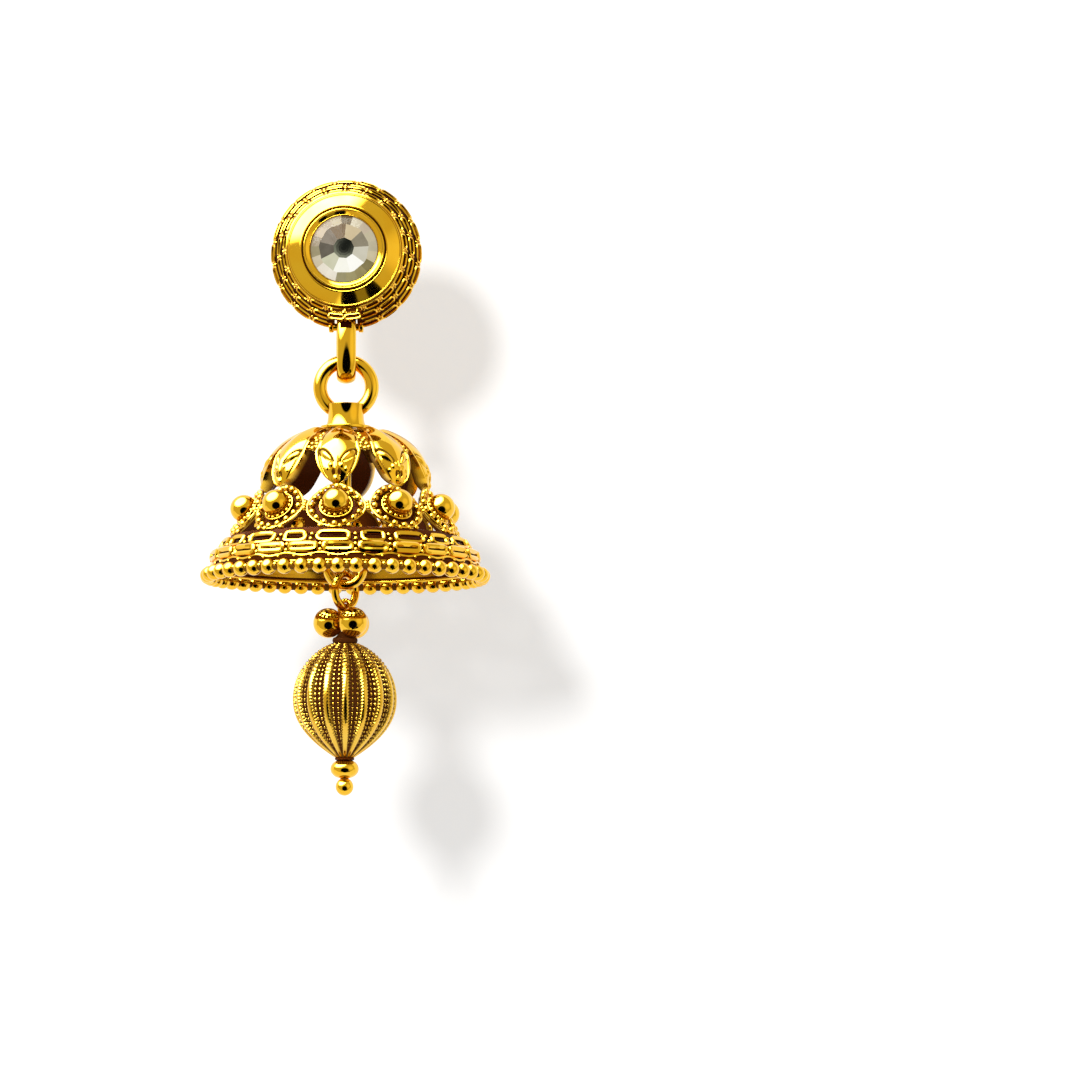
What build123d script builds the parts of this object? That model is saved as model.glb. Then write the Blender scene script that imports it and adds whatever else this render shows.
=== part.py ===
from build123d import *

import os
from math import acos, cos, degrees, radians, sin

os.makedirs("parts", exist_ok=True)

# Jhumka earring: a stone-set stud, a petalled bell that hangs from it on an oval link, and a
# ribbed bead drop that hangs inside the bell on two jump rings.
# Millimetres, +Z up. The front faces -Y and the ear post points along +Y. The origin is the
# centre of the stud's back face, where it sits on the ear lobe.

# --- Assembly -------------------------------------------------------------------------------
gap = 0.05  # between pieces that are soldered or pressed together
hang_y = -0.5  # the bell and the drop hang plumb on this line
bore_play = 0.05  # radial play of a bead on the drop pin
cut_past = 1.0  # how far a cut reaches beyond the metal it opens

# --- Stud -----------------------------------------------------------------------------------
cup_back_r = 6.95
cup_front_r = 5.25
cup_depth = 3.3
cup_edge = 0.35  # straight edge at the back of the cup's wall
cup_wall = 0.6
cup_plate = 0.5
bevel_r = 5.12
bevel_low = 3.42  # height of the bevel's outer edge above the ear
bevel_high = 4.3
bevel_spigot_r = 4.5
bevel_spigot = 0.55  # how far the spigot reaches into the cup
bezel_r = 3.75
bezel_high = 4.4
bezel_floor = 0.35
bezel_lip = 0.12
funnel_low = 4.0  # height of the funnel's foot, at the stone
stone_r = 3.0
stone_girdle = (3.75, 3.95)  # heights of the girdle's two edges
stone_shoulder = (2.24, 4.35)  # radius and height where outer and main facets meet
stone_table = (0.94, 4.6)
stone_culet = (0.5, 3.2)
stone_facets = 9
post_r = 0.5
post_length = 10.0
post_chamfer = 0.15

# --- Link between stud and bell ---------------------------------------------------------------
bar_z = -6.6  # the bar in the cup's edge that the link turns on
bar_r = 0.35
ear_r = 0.5  # the two ears that carry the bar
ear_width = 0.42
ear_inside = 1.14  # distance of an ear's inner face from the middle
notch_front = -2.6
notch_top = -4.6
link_half_width = 0.86  # half of the link's wire, across the earring
link_half_thick = 0.52  # half of the link's wire, seen from the side
link_half_depth = 1.42  # from the link's middle to its wire's middle
link_bottom = -11.75
link_play = 0.12
link_turn = 5.0  # degrees that the link stands turned about its own height

# --- Bell's hanger ----------------------------------------------------------------------------
bell_ring_r = 2.34
bell_ring_wire = 0.63
bell_ring_z = -12.06
collar_top_z = -13.6
collar_low_z = -15.85
collar_r = 1.72
collar_waist_r = 1.6
collar_foot_r = 1.86
rod_r = 0.5
eye_r = 1.15
eye_wire = 0.35
eye_z = -26.75

# --- Bell -------------------------------------------------------------------------------------
petals = 8
petal_turn = -2.6  # degrees from straight ahead to the front petal
frames = 10
frame_turn = -1.8  # degrees from straight ahead to the front frame and its bead
shell = 0.6
dome_seat_r = 1.95
dome_z = -15.75
dome_shoulder = (5.3, -16.9)
dome_side = (6.75, -18.3)
dome_flank = (7.42, -19.6)
dome_foot = (7.65, -21.6)
petal_join_z = -18.15  # petals are joined above this height and stand free below it
petal_tip_half = 0.45
petal_gap_waist = 0.62  # width of the gap between petals halfway down, as a share of its foot
petal_gap_rise = 0.2  # how far above halfway that width is reached
lattice_top = (7.62, -21.65)
lattice_foot = (10.4, -25.8)
lozenge_side_z = -23.8  # where the frames around the beads touch each other
knob_r = 1.2
knob_circle_r = 9.25
knob_z = -23.4
lower_gap_half = 1.75  # half of the width of the openings below the frames
lattice_join = 0.7  # height of the metal where two frames meet
lattice_hem = 0.25  # height of the band left below those openings
skirt_top = (10.45, -25.85)
skirt_row_a = (11.2, -26.5)
skirt_row_b = (12.05, -27.3)
skirt_foot = (12.15, -28.4)
skirt_wall = 0.75
rim_beads = 48
rim_bead_r = 0.71
rim_circle_r = 12.34
rim_z = -29.2
rim_wire = 0.4

# --- Jump ring and drop -----------------------------------------------------------------------
jump_r = 1.56
jump_wire = 0.46
jump_z = -28.43
drop_ring_r = 1.52
drop_ring_wire = 0.36
drop_ring_play = 0.2
drop_ring_turn = 34.0  # degrees that the drop's ring stands turned from edge-on
pin_r = 0.22
pin_eye_wire = 0.22
cluster_r = 1.35
cluster_weld = 0.03  # how far each ball reaches into the next at the solder
cluster_z = -33.4
cluster_angles = (-60.0, 60.0, 180.0)  # degrees from +X, seen from above
ribbed_r = 4.68
ribbed_half = 5.3
ribbed_z = -40.25
ribbed_neck_r = 1.15
ribbed_neck = 0.1
ribbed_wall = 0.6  # the bead is hollow
spacer_r = 1.27
spacer_half = 0.8
spacer_z = -46.5
ball_r = 0.8
ball_z = -48.1

hang_plane = Plane.XZ.offset(-hang_y)  # local x is X, local y is Z
hang_axis = Axis((0, hang_y, 0), (0, 0, 1))
side_plane = Plane.YZ


def radial_plane(angle):
    """Plane through the hang line that faces outwards at an angle from the front."""
    turn = radians(angle)
    outwards = (sin(turn), -cos(turn), 0)
    return Plane(origin=(0, hang_y, 0), x_dir=(cos(turn), sin(turn), 0), z_dir=outwards)


# --- Stud cup: hollow cup with a back plate, and a bar in its lower edge for the link ------------
notch_reach = cup_back_r + cut_past + notch_top
with BuildPart() as stud_cup:
    with BuildSketch(Plane.XY):
        with BuildLine():
            Polyline(
                (0, 0),
                (cup_back_r, 0),
                (cup_back_r, -cup_edge),
                (cup_front_r, -cup_depth),
                (cup_front_r - cup_wall, -cup_depth),
                (cup_back_r - cup_wall, -cup_plate),
                (0, -cup_plate),
                close=True,
            )
        make_face()
    revolve(axis=Axis.Y)
    with BuildSketch(Plane.XZ):
        with Locations((0, notch_top)):
            Rectangle(2 * ear_inside, notch_reach, align=(Align.CENTER, Align.MAX))
    extrude(amount=-notch_front, mode=Mode.SUBTRACT)
    with BuildSketch(side_plane.offset(ear_inside)):
        with Locations((hang_y, bar_z)):
            Circle(ear_r)
    extrude(amount=ear_width)
    with BuildSketch(side_plane.offset(-ear_inside)):
        with Locations((hang_y, bar_z)):
            Circle(ear_r)
    extrude(amount=-ear_width)
    with BuildSketch(side_plane):
        with Locations((hang_y, bar_z)):
            Circle(bar_r)
    extrude(amount=ear_inside + ear_width / 2, both=True)
stud_cup.part.label = "stud_cup"
export_step(stud_cup.part, "parts/stud_cup.step")

# --- Bevel ring: the wide polished slope around the stone ---------------------------------------
bevel_seat = cup_depth + gap
with BuildPart() as bevel_ring:
    with BuildSketch(Plane.XY):
        with BuildLine():
            Polyline(
                (bezel_r + gap, -(cup_depth - bevel_spigot)),
                (bevel_spigot_r, -(cup_depth - bevel_spigot)),
                (bevel_spigot_r, -bevel_seat),
                (bevel_r, -bevel_seat),
                (bevel_r, -bevel_low),
                (bezel_r + gap, -bevel_high),
                close=True,
            )
        make_face()
    revolve(axis=Axis.Y)
bevel_ring.part.label = "bevel_ring"
export_step(bevel_ring.part, "parts/bevel_ring.step")

# --- Stone bezel: closed cup whose funnel leads down to the stone ---------------------------------
bezel_foot = cup_depth - bevel_spigot
stone_seat = bezel_foot + bezel_floor
with BuildPart() as stone_bezel:
    with BuildSketch(Plane.XY):
        with BuildLine():
            Polyline(
                (0, -bezel_foot),
                (bezel_r, -bezel_foot),
                (bezel_r, -bezel_high),
                (bezel_r - bezel_lip, -bezel_high),
                (stone_r + gap, -funnel_low),
                (stone_r + gap, -(stone_girdle[0] - gap)),
                (stone_culet[0] + gap, -stone_seat),
                (0, -stone_seat),
                close=True,
            )
        make_face()
    revolve(axis=Axis.Y)
stone_bezel.part.label = "stone_bezel"
export_step(stone_bezel.part, "parts/stone_bezel.step")

# --- Stone: round girdle, two rings of facets and a small table ------------------------------------
facet_half = 180 / stone_facets
shoulder_r, shoulder_h = stone_shoulder
table_r, table_h = stone_table
with BuildPart() as stone:
    with BuildSketch(Plane.XY):
        with BuildLine():
            Polyline(
                (0, -stone_culet[1]),
                (stone_culet[0], -stone_culet[1]),
                (stone_r, -stone_girdle[0]),
                (stone_r, -stone_girdle[1]),
                (0, -stone_girdle[1]),
                close=True,
            )
        make_face()
    revolve(axis=Axis.Y)
    with BuildSketch(Plane.XZ.offset(stone_girdle[1])):
        RegularPolygon(stone_r, stone_facets)
    with BuildSketch(Plane.XZ.offset(shoulder_h)):
        RegularPolygon(shoulder_r, stone_facets)
    loft(ruled=True)
    with BuildSketch(Plane.XZ.offset(shoulder_h)):
        RegularPolygon(shoulder_r, stone_facets)
    with BuildSketch(Plane.XZ.offset(table_h)):
        RegularPolygon(table_r, stone_facets)
    loft(ruled=True)
stone.part.label = "stone"
export_step(stone.part, "parts/stone.step")

# --- Ear post: plain straight pin on the back plate -------------------------------------------------
with BuildPart() as ear_post:
    with BuildSketch(Plane.XZ.offset(-gap)):
        Circle(post_r)
    extrude(amount=-(post_length - gap))
    chamfer(ear_post.edges().group_by(Axis.Y)[-1], length=post_chamfer)
ear_post.part.label = "ear_post"
export_step(ear_post.part, "parts/ear_post.step")

# --- Hanging link: oval ring of flattened wire, edge-on to the front ---------------------------------
link_top = bar_z + bar_r + link_play + 2 * link_half_thick
link_outer = link_half_depth + link_half_thick
link_upper_z = link_top - link_outer
link_lower_z = link_bottom + link_outer
link_turned = Plane(
    origin=(0, hang_y, 0),
    x_dir=(sin(radians(link_turn)), -cos(radians(link_turn)), 0),
    z_dir=(-cos(radians(link_turn)), -sin(radians(link_turn)), 0),
)
with BuildPart() as hanging_link:
    with BuildLine(link_turned) as link_path:
        Line((link_half_depth, link_lower_z), (link_half_depth, link_upper_z))
        ThreePointArc(
            (link_half_depth, link_upper_z),
            (0, link_upper_z + link_half_depth),
            (-link_half_depth, link_upper_z),
        )
        Line((-link_half_depth, link_upper_z), (-link_half_depth, link_lower_z))
        ThreePointArc(
            (-link_half_depth, link_lower_z),
            (0, link_lower_z - link_half_depth),
            (link_half_depth, link_lower_z),
        )
    start = link_turned.from_local_coords((link_half_depth, link_lower_z, 0))
    with BuildSketch(Plane(origin=start, x_dir=link_turned.x_dir, z_dir=(0, 0, 1))):
        Ellipse(link_half_thick, link_half_width)
    sweep()
hanging_link.part.label = "hanging_link"
export_step(hanging_link.part, "parts/hanging_link.step")

# --- Bell hanger: face-on ring, collar, rod through the bell and the eye at its lower end -------------
with BuildPart() as bell_hanger:
    with BuildSketch(hang_plane):
        with BuildLine():
            Line((0, collar_top_z), (collar_r, collar_top_z))
            ThreePointArc(
                (collar_r, collar_top_z),
                (collar_waist_r, (collar_top_z + collar_low_z) / 2),
                (collar_foot_r, collar_low_z),
            )
            Polyline(
                (collar_foot_r, collar_low_z),
                (rod_r, collar_low_z),
                (rod_r, eye_z + eye_r),
                (0, eye_z + eye_r),
                (0, collar_top_z),
            )
        make_face()
    revolve(axis=hang_axis)
    with Locations(Location((0, hang_y, bell_ring_z), (90, 0, 0))):
        Torus(bell_ring_r, bell_ring_wire)
    with Locations(Location((0, hang_y, eye_z), (0, 90, 0))):
        Torus(eye_r, eye_wire)
bell_hanger.part.label = "bell_hanger"
export_step(bell_hanger.part, "parts/bell_hanger.step")

# --- Petal dome: shell whose eight petals are joined above and stand free below --------------------------
petal_gap_half = dome_foot[0] * sin(radians(180 / petals)) - petal_tip_half
petal_gap_mid = (
    petal_gap_waist * petal_gap_half,
    (petal_join_z + dome_foot[1]) / 2 + petal_gap_rise,
)
petal_gap_foot = (petal_gap_half, dome_foot[1] - cut_past)
with BuildPart() as petal_dome:
    with BuildSketch(hang_plane):
        with BuildLine() as dome_line:
            ThreePointArc((dome_seat_r, dome_z), dome_shoulder, dome_side)
            ThreePointArc(dome_side, dome_flank, dome_foot)
            offset(amount=shell, side=Side.RIGHT)
        make_face()
    revolve(axis=hang_axis)
    for number in range(petals):
        with BuildSketch(radial_plane(petal_turn + (number + 0.5) * 360 / petals)):
            with BuildLine():
                ThreePointArc((0, petal_join_z), petal_gap_mid, petal_gap_foot)
                Line(petal_gap_foot, (0, petal_gap_foot[1]))
                Line((0, petal_gap_foot[1]), (0, petal_join_z))
            make_face()
            mirror(about=Plane.YZ)
        extrude(amount=dome_foot[0] + cut_past, mode=Mode.SUBTRACT)
petal_dome.part.label = "petal_dome"
export_step(petal_dome.part, "parts/petal_dome.step")

# --- Bead lattice: openwork cone of ten framed round beads, smooth inside ----------------------------------
lattice_slope = (lattice_foot[0] - lattice_top[0]) / (lattice_top[1] - lattice_foot[1])
side_r = lattice_top[0] + lattice_slope * (lattice_top[1] - lozenge_side_z)
pitch_half = side_r * sin(radians(180 / frames))
with BuildPart() as bead_lattice:
    with BuildSketch(hang_plane):
        with BuildLine():
            Polyline((0, lattice_top[1]), lattice_top, lattice_foot, (0, lattice_foot[1]), close=True)
        make_face()
    revolve(axis=hang_axis)
    for number in range(frames):
        with BuildSketch(radial_plane(frame_turn + (number + 0.5) * 360 / frames)):
            with BuildLine():
                Polyline(
                    (petal_tip_half - pitch_half, lattice_top[1] + cut_past),
                    (pitch_half - petal_tip_half, lattice_top[1] + cut_past),
                    (0, lozenge_side_z + lattice_join / 2),
                    close=True,
                )
            make_face()
            with BuildLine():
                Polyline(
                    (-lower_gap_half, lattice_foot[1] + lattice_hem),
                    (lower_gap_half, lattice_foot[1] + lattice_hem),
                    (0, lozenge_side_z - lattice_join / 2),
                    close=True,
                )
            make_face()
        extrude(amount=lattice_foot[0] + cut_past, mode=Mode.SUBTRACT)
    with Locations((0, hang_y, knob_z)):
        with PolarLocations(knob_circle_r, frames, start_angle=frame_turn - 90):
            Sphere(knob_r)
    with BuildSketch(hang_plane):
        with BuildLine():
            Polyline(
                (0, lattice_top[1]),
                (lattice_top[0] - shell, lattice_top[1]),
                (lattice_foot[0] - shell, lattice_foot[1]),
                (0, lattice_foot[1]),
                close=True,
            )
        make_face()
    revolve(axis=hang_axis, mode=Mode.SUBTRACT)
bead_lattice.part.label = "bead_lattice"
export_step(bead_lattice.part, "parts/bead_lattice.step")

# --- Bell skirt: flaring band that carries the rows of chain links -------------------------------------------
with BuildPart() as bell_skirt:
    with BuildSketch(hang_plane):
        with BuildLine():
            Polyline(
                skirt_top,
                skirt_row_a,
                skirt_row_b,
                skirt_foot,
                (skirt_foot[0] - skirt_wall, skirt_foot[1]),
                (skirt_row_b[0] - skirt_wall, skirt_row_b[1]),
                (skirt_row_a[0] - skirt_wall, skirt_row_a[1]),
                (skirt_top[0] - skirt_wall, skirt_top[1]),
                close=True,
            )
        make_face()
    revolve(axis=hang_axis)
bell_skirt.part.label = "bell_skirt"
export_step(bell_skirt.part, "parts/bell_skirt.step")

# --- Bead rim: beads on a hoop around the bell's lower edge ----------------------------------------------------
with BuildPart() as bead_rim:
    with Locations((0, hang_y, rim_z)):
        Torus(rim_circle_r, rim_wire)
        with PolarLocations(rim_circle_r, rim_beads, start_angle=-90):
            Sphere(rim_bead_r)
bead_rim.part.label = "bead_rim"
export_step(bead_rim.part, "parts/bead_rim.step")

# --- Jump ring: face-on ring that hangs in the eye inside the bell ------------------------------------------------
with BuildPart() as jump_ring:
    with Locations(Location((0, hang_y, jump_z), (90, 0, 0))):
        Torus(jump_r, jump_wire)
jump_ring.part.label = "jump_ring"
export_step(jump_ring.part, "parts/jump_ring.step")

# --- Drop ring: stands turned, between the jump ring and the pin's eye ---------------------------------------------
drop_pivot_z = jump_z - jump_r
drop_ring_top = drop_pivot_z + jump_wire + drop_ring_play + drop_ring_wire
drop_ring_z = drop_ring_top - drop_ring_r
with BuildPart() as drop_ring:
    with Locations(Location((0, hang_y, drop_ring_z), (0, 0, 90 - drop_ring_turn))):
        with Locations(Location((0, 0, 0), (90, 0, 0))):
            Torus(drop_ring_r, drop_ring_wire)
drop_ring.part.label = "drop_ring"
export_step(drop_ring.part, "parts/drop_ring.step")

# --- Drop pin: eye, straight wire through the beads, and the ball at its end ------------------------------------------
pin_eye_z = drop_ring_z - drop_ring_r
pin_eye_r = drop_ring_wire + gap + pin_eye_wire
with BuildPart() as drop_pin:
    with Locations(Location((0, hang_y, pin_eye_z), (0, 0, -drop_ring_turn))):
        with Locations(Location((0, 0, 0), (90, 0, 0))):
            Torus(pin_eye_r, pin_eye_wire)
    with BuildSketch(Plane((0, hang_y, ball_z))):
        Circle(pin_r)
    extrude(amount=pin_eye_z - pin_eye_r - ball_z)
    with Locations((0, hang_y, ball_z)):
        Sphere(ball_r)
drop_pin.part.label = "drop_pin"
export_step(drop_pin.part, "parts/drop_pin.step")

# --- Bead cluster: three balls soldered in a triangle around the pin ----------------------------------------------------
cluster_circle_r = (cluster_r - cluster_weld) / sin(radians(60))
with BuildPart() as bead_cluster:
    for angle in cluster_angles:
        turn = radians(angle)
        centre = (cluster_circle_r * cos(turn), hang_y + cluster_circle_r * sin(turn), cluster_z)
        with Locations(centre):
            Sphere(cluster_r)
    with Locations((0, hang_y, cluster_z)):
        Cylinder(pin_r + bore_play, 4 * cluster_r, mode=Mode.SUBTRACT)
    with Locations((0, hang_y, pin_eye_z)):
        Sphere(pin_eye_r + pin_eye_wire + gap, mode=Mode.SUBTRACT)
bead_cluster.part.label = "bead_cluster"
export_step(bead_cluster.part, "parts/bead_cluster.step")

# --- Ribbed bead: the large egg-shaped bead with a low neck at each end ---------------------------------------------------
with BuildPart() as ribbed_bead:
    with BuildSketch(hang_plane):
        with BuildLine():
            neck_angle = degrees(acos(ribbed_neck_r / ribbed_r))
            neck_z = ribbed_half * sin(radians(neck_angle))
            neck_end = ribbed_half + ribbed_neck
            Line((0, ribbed_z + neck_end), (ribbed_neck_r, ribbed_z + neck_end))
            Line((ribbed_neck_r, ribbed_z + neck_end), (ribbed_neck_r, ribbed_z + neck_z))
            EllipticalCenterArc(
                (0, ribbed_z),
                ribbed_r,
                ribbed_half,
                start_angle=-neck_angle,
                arc_size=2 * neck_angle,
            )
            Line((ribbed_neck_r, ribbed_z - neck_z), (ribbed_neck_r, ribbed_z - neck_end))
            Line((ribbed_neck_r, ribbed_z - neck_end), (0, ribbed_z - neck_end))
            Line((0, ribbed_z - neck_end), (0, ribbed_z + neck_end))
        make_face()
    revolve(axis=hang_axis)
    with Locations((0, hang_y, ribbed_z)):
        Cylinder(pin_r + bore_play, 3 * ribbed_half, mode=Mode.SUBTRACT)
    with BuildSketch(hang_plane):
        with Locations((0, ribbed_z)):
            Ellipse(ribbed_r - ribbed_wall, ribbed_half - ribbed_wall)
        with Locations((-ribbed_r, ribbed_z)):
            Rectangle(2 * ribbed_r, 2 * ribbed_half, mode=Mode.SUBTRACT)
    revolve(axis=hang_axis, mode=Mode.SUBTRACT)
ribbed_bead.part.label = "ribbed_bead"
export_step(ribbed_bead.part, "parts/ribbed_bead.step")

# --- Spacer bead: small flattened bead above the end ball --------------------------------------------------------------------
with BuildPart() as spacer_bead:
    with BuildSketch(hang_plane):
        with Locations((0, spacer_z)):
            SlotOverall(2 * spacer_r, 2 * spacer_half)
        with Locations((-spacer_r, spacer_z)):
            Rectangle(2 * (spacer_r + pin_r + bore_play), 2 * spacer_r, mode=Mode.SUBTRACT)
    revolve(axis=hang_axis)
spacer_bead.part.label = "spacer_bead"
export_step(spacer_bead.part, "parts/spacer_bead.step")
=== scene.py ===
"""Looks of a jhumka earring: a stone-set stud, a petalled bell and a ribbed bead drop, all in yellow gold.

Sizes in the classes below are millimetres; meshes are written in metres. Each round piece is turned about a
spindle, and each pattern is laid on a slope: a line of radius and height turned about that spindle.
"""

import logging
import math
from collections.abc import Sequence
from dataclasses import dataclass
from enum import Enum

import bpy
import numpy as np
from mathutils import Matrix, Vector


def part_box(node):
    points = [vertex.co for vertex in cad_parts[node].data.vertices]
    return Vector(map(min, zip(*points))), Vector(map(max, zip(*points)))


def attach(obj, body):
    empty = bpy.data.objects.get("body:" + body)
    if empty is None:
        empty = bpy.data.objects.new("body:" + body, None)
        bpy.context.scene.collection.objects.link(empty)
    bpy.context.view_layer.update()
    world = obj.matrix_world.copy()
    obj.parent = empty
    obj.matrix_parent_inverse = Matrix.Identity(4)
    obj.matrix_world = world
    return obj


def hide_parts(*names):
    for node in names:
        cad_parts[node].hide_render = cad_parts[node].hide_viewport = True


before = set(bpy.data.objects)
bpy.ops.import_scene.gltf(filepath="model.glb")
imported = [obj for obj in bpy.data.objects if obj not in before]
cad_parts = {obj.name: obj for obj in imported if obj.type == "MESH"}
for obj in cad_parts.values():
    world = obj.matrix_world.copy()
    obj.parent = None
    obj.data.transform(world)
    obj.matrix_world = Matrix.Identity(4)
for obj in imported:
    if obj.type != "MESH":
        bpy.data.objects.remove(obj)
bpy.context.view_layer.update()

Pair = tuple[float, float]
Place = tuple[float, float, float]
Triple = tuple[float, float, float]
Colour = tuple[float, float, float, float]
Detail = tuple[int, int]  # points round a ring and its wire, or rows and columns of a ball
Corners = Sequence[tuple[float, float]]

MM = 0.001
FULL_TURN = 2 * math.pi
SMALL_BALL = (5, 8)  # detail of a small granule
ROUND_BALL = (7, 10)  # detail of a larger one
GRAIN = (6, 6)  # detail of a grain, with its ends counted
TRIAL_STEPS = 40  # trial points for each point of an even outline
CUT_LIMIT = 0.45  # largest share of an edge that a corner's curve takes up
BAND_STEP = 0.25  # spacing of points along a band, in millimetres
SMALL_STEP = 0.05  # step that finds a direction on a slope, in millimetres
NOISE_REACH = (0.3, 0.7)  # usual reach of noise
WHITE = (1.0, 1.0, 1.0, 1.0)
BLACK = (0.0, 0.0, 0.0, 1.0)
log = logging.getLogger("jhumka")


# --- Shapes -------------------------------------------------------------------------------------------------


@dataclass
class Shape:
    """Closed surface.

    Attributes:
        points: Places in millimetres, n by 3.
        faces: Point numbers, one m by k array for each number of sides.
        shade_and_patina: One value a point, 0 on a polished high place and 1 where it is darkest: painted
            shade in grooves, hollows and behind other parts, and on antiqued gold its patina.
    """

    points: np.ndarray
    faces: list[np.ndarray]
    shade_and_patina: np.ndarray

    def outward(self) -> "Shape":
        """Turns the faces outwards: the tetrahedra from the origin to each face add up to the volume, which
        is negative on a shape that is inside out.

        Returns:
            The shape itself.
        """
        volume = 0.0
        for ring in self.faces:
            corner = self.points[ring]
            cross = np.cross(corner[:, 1:-1], corner[:, 2:])
            volume += float((corner[:, :1] * cross).sum())
        if volume < 0:
            self.faces = [ring[:, ::-1] for ring in self.faces]
        return self


def joined(*shapes: Shape) -> Shape:
    """Puts several shapes into one.

    Args:
        shapes: Closed surfaces.

    Returns:
        One shape with all their points and faces, each turned outwards.
    """
    turned_out = [shape.outward() for shape in shapes]
    starts = np.cumsum([0] + [len(shape.points) for shape in turned_out])
    return Shape(
        np.concatenate([shape.points for shape in turned_out]),
        [ring + start for shape, start in zip(turned_out, starts) for ring in shape.faces],
        np.concatenate([shape.shade_and_patina for shape in turned_out]),
    )


def lofted(
    loops: np.ndarray, closed: bool = False, caps: np.ndarray | None = None, shade_and_patina: np.ndarray | float = 0.0
) -> Shape:
    """Skins rows of closed loops: point (row, column) joins its neighbours in both directions.

    Args:
        loops: Places, copies by rows by columns by 3, or rows by columns by 3 for one copy.
        closed: True if the last row joins the first, as on a ring.
        caps: Middle points of the two ends, copies by 2 by 3. By default the middles of the end loops.
        shade_and_patina: Depth values that spread to copies by rows by columns.

    Returns:
        The closed shape of all copies.
    """
    loops = loops if loops.ndim == 4 else loops[None]
    copies, rows, columns = loops.shape[:3]
    row = np.arange(rows if closed else rows - 1)[:, None] * columns
    row_after = (row + columns) % (rows * columns)
    column = np.arange(columns)[None, :]
    column_after = (column + 1) % columns
    quads = np.stack([row + column, row + column_after, row_after + column_after, row_after + column], -1)
    faces = [quads.reshape(-1, 4)]
    points = loops.reshape(copies, rows * columns, 3)
    depth = np.broadcast_to(shade_and_patina, (copies, rows, columns)).reshape(copies, -1)
    if not closed:
        ends = loops[:, [0, -1]].mean(2) if caps is None else np.broadcast_to(caps, (copies, 2, 3))
        points = np.concatenate([points, ends], 1)
        depth = np.concatenate([depth, depth[:, [0, -1]]], 1)
        around, after = column[0], column_after[0]
        first = np.stack([after, around, np.full(columns, rows * columns)], 1)
        last_row = (rows - 1) * columns
        last = np.stack([last_row + around, last_row + after, np.full(columns, rows * columns + 1)], 1)
        faces.append(np.concatenate([first, last]))
    start = np.arange(copies)[:, None, None] * points.shape[1]
    spread = [(ring[None] + start).reshape(-1, ring.shape[1]) for ring in faces]
    return Shape(points.reshape(-1, 3), spread, depth.reshape(-1).astype(float)).outward()


def unit(vectors: np.ndarray) -> np.ndarray:
    """Vectors of length 1 along the last axis."""
    return vectors / np.linalg.norm(vectors, axis=-1, keepdims=True)


def tube(
    path: np.ndarray,
    reference: np.ndarray,
    radius: np.ndarray | float,
    sides: int = 10,
    closed: bool = True,
    flat: float = 1.0,
    shade_and_patina: np.ndarray | float = 0.0,
) -> Shape:
    """Wire along a path: at each point an ellipse across the path, half as wide as radius along the
    reference direction, and flat times that across it.

    Args:
        path: Places, copies by points by 3.
        reference: Direction at each point that isn't along the path.
        radius: Half thickness, one value or one for each point.
        sides: Points round the wire.
        closed: True if the path returns to its start.
        flat: Width of the section across the reference direction, as a share of radius.
        shade_and_patina: Depth value of the wire.

    Returns:
        The closed shape of all copies.
    """
    ahead = np.roll(path, -1, -2) - np.roll(path, 1, -2) if closed else np.gradient(path, axis=-2)
    tangent = unit(ahead)
    across = unit(np.cross(tangent, reference))
    upright = np.cross(across, tangent)
    turn = np.linspace(0, FULL_TURN, sides, endpoint=False)[:, None]
    thick = np.broadcast_to(radius, path.shape[:-1])[..., None, None]
    section = np.cos(turn) * upright[..., None, :] + flat * np.sin(turn) * across[..., None, :]
    return lofted(path[..., None, :] + thick * section, closed, None, shade_and_patina)


def balls(
    centres: np.ndarray, radius: np.ndarray | float, rows: int, columns: int, shade_and_patina: float = 0.0
) -> Shape:
    """Round balls: circles of latitude whose radius is the sine, and height the cosine, of the polar angle.

    Args:
        centres: Places, copies by 3.
        radius: One value, or one a ball.
        rows: Circles between the poles.
        columns: Points on a circle.
        shade_and_patina: Depth value of the balls.

    Returns:
        The closed shape of all balls.
    """
    polar = np.linspace(0, math.pi, rows + 2)[1:-1, None]
    turn = np.linspace(0, FULL_TURN, columns, endpoint=False)
    circle = np.stack(
        [np.sin(polar) * np.cos(turn), np.sin(polar) * np.sin(turn), np.cos(polar) * np.ones(columns)], -1
    )
    size = np.broadcast_to(radius, len(centres))[:, None, None]
    poles = centres[:, None] + size * np.array([[0, 0, 1], [0, 0, -1]])
    return lofted(centres[:, None, None] + size[..., None] * circle, False, poles, shade_and_patina)


def even_outline(half_width: float, half_height: float, power: float, count: int) -> np.ndarray:
    """Points spaced evenly along a superellipse: (x / a) ^ p + (y / b) ^ p = 1. A power of 2 is an ellipse,
    a higher one a rounded rectangle, and one near 1 a rounded lozenge.

    Args:
        half_width: Reach along x.
        half_height: Reach along y.
        power: The exponent p.
        count: Number of points.

    Returns:
        The outline, count by 2.
    """
    turn = np.linspace(0, FULL_TURN, TRIAL_STEPS * count + 1)
    fine = np.stack([np.cos(turn), np.sin(turn)], 1)
    fine = np.sign(fine) * np.abs(fine) ** (2 / power) * (half_width, half_height)
    run = np.concatenate([[0], np.cumsum(np.hypot(*np.diff(fine, axis=0).T))])
    wanted = np.linspace(0, run[-1], count, endpoint=False)
    return np.stack([np.interp(wanted, run, fine[:, axis]) for axis in (0, 1)], 1)


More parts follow.
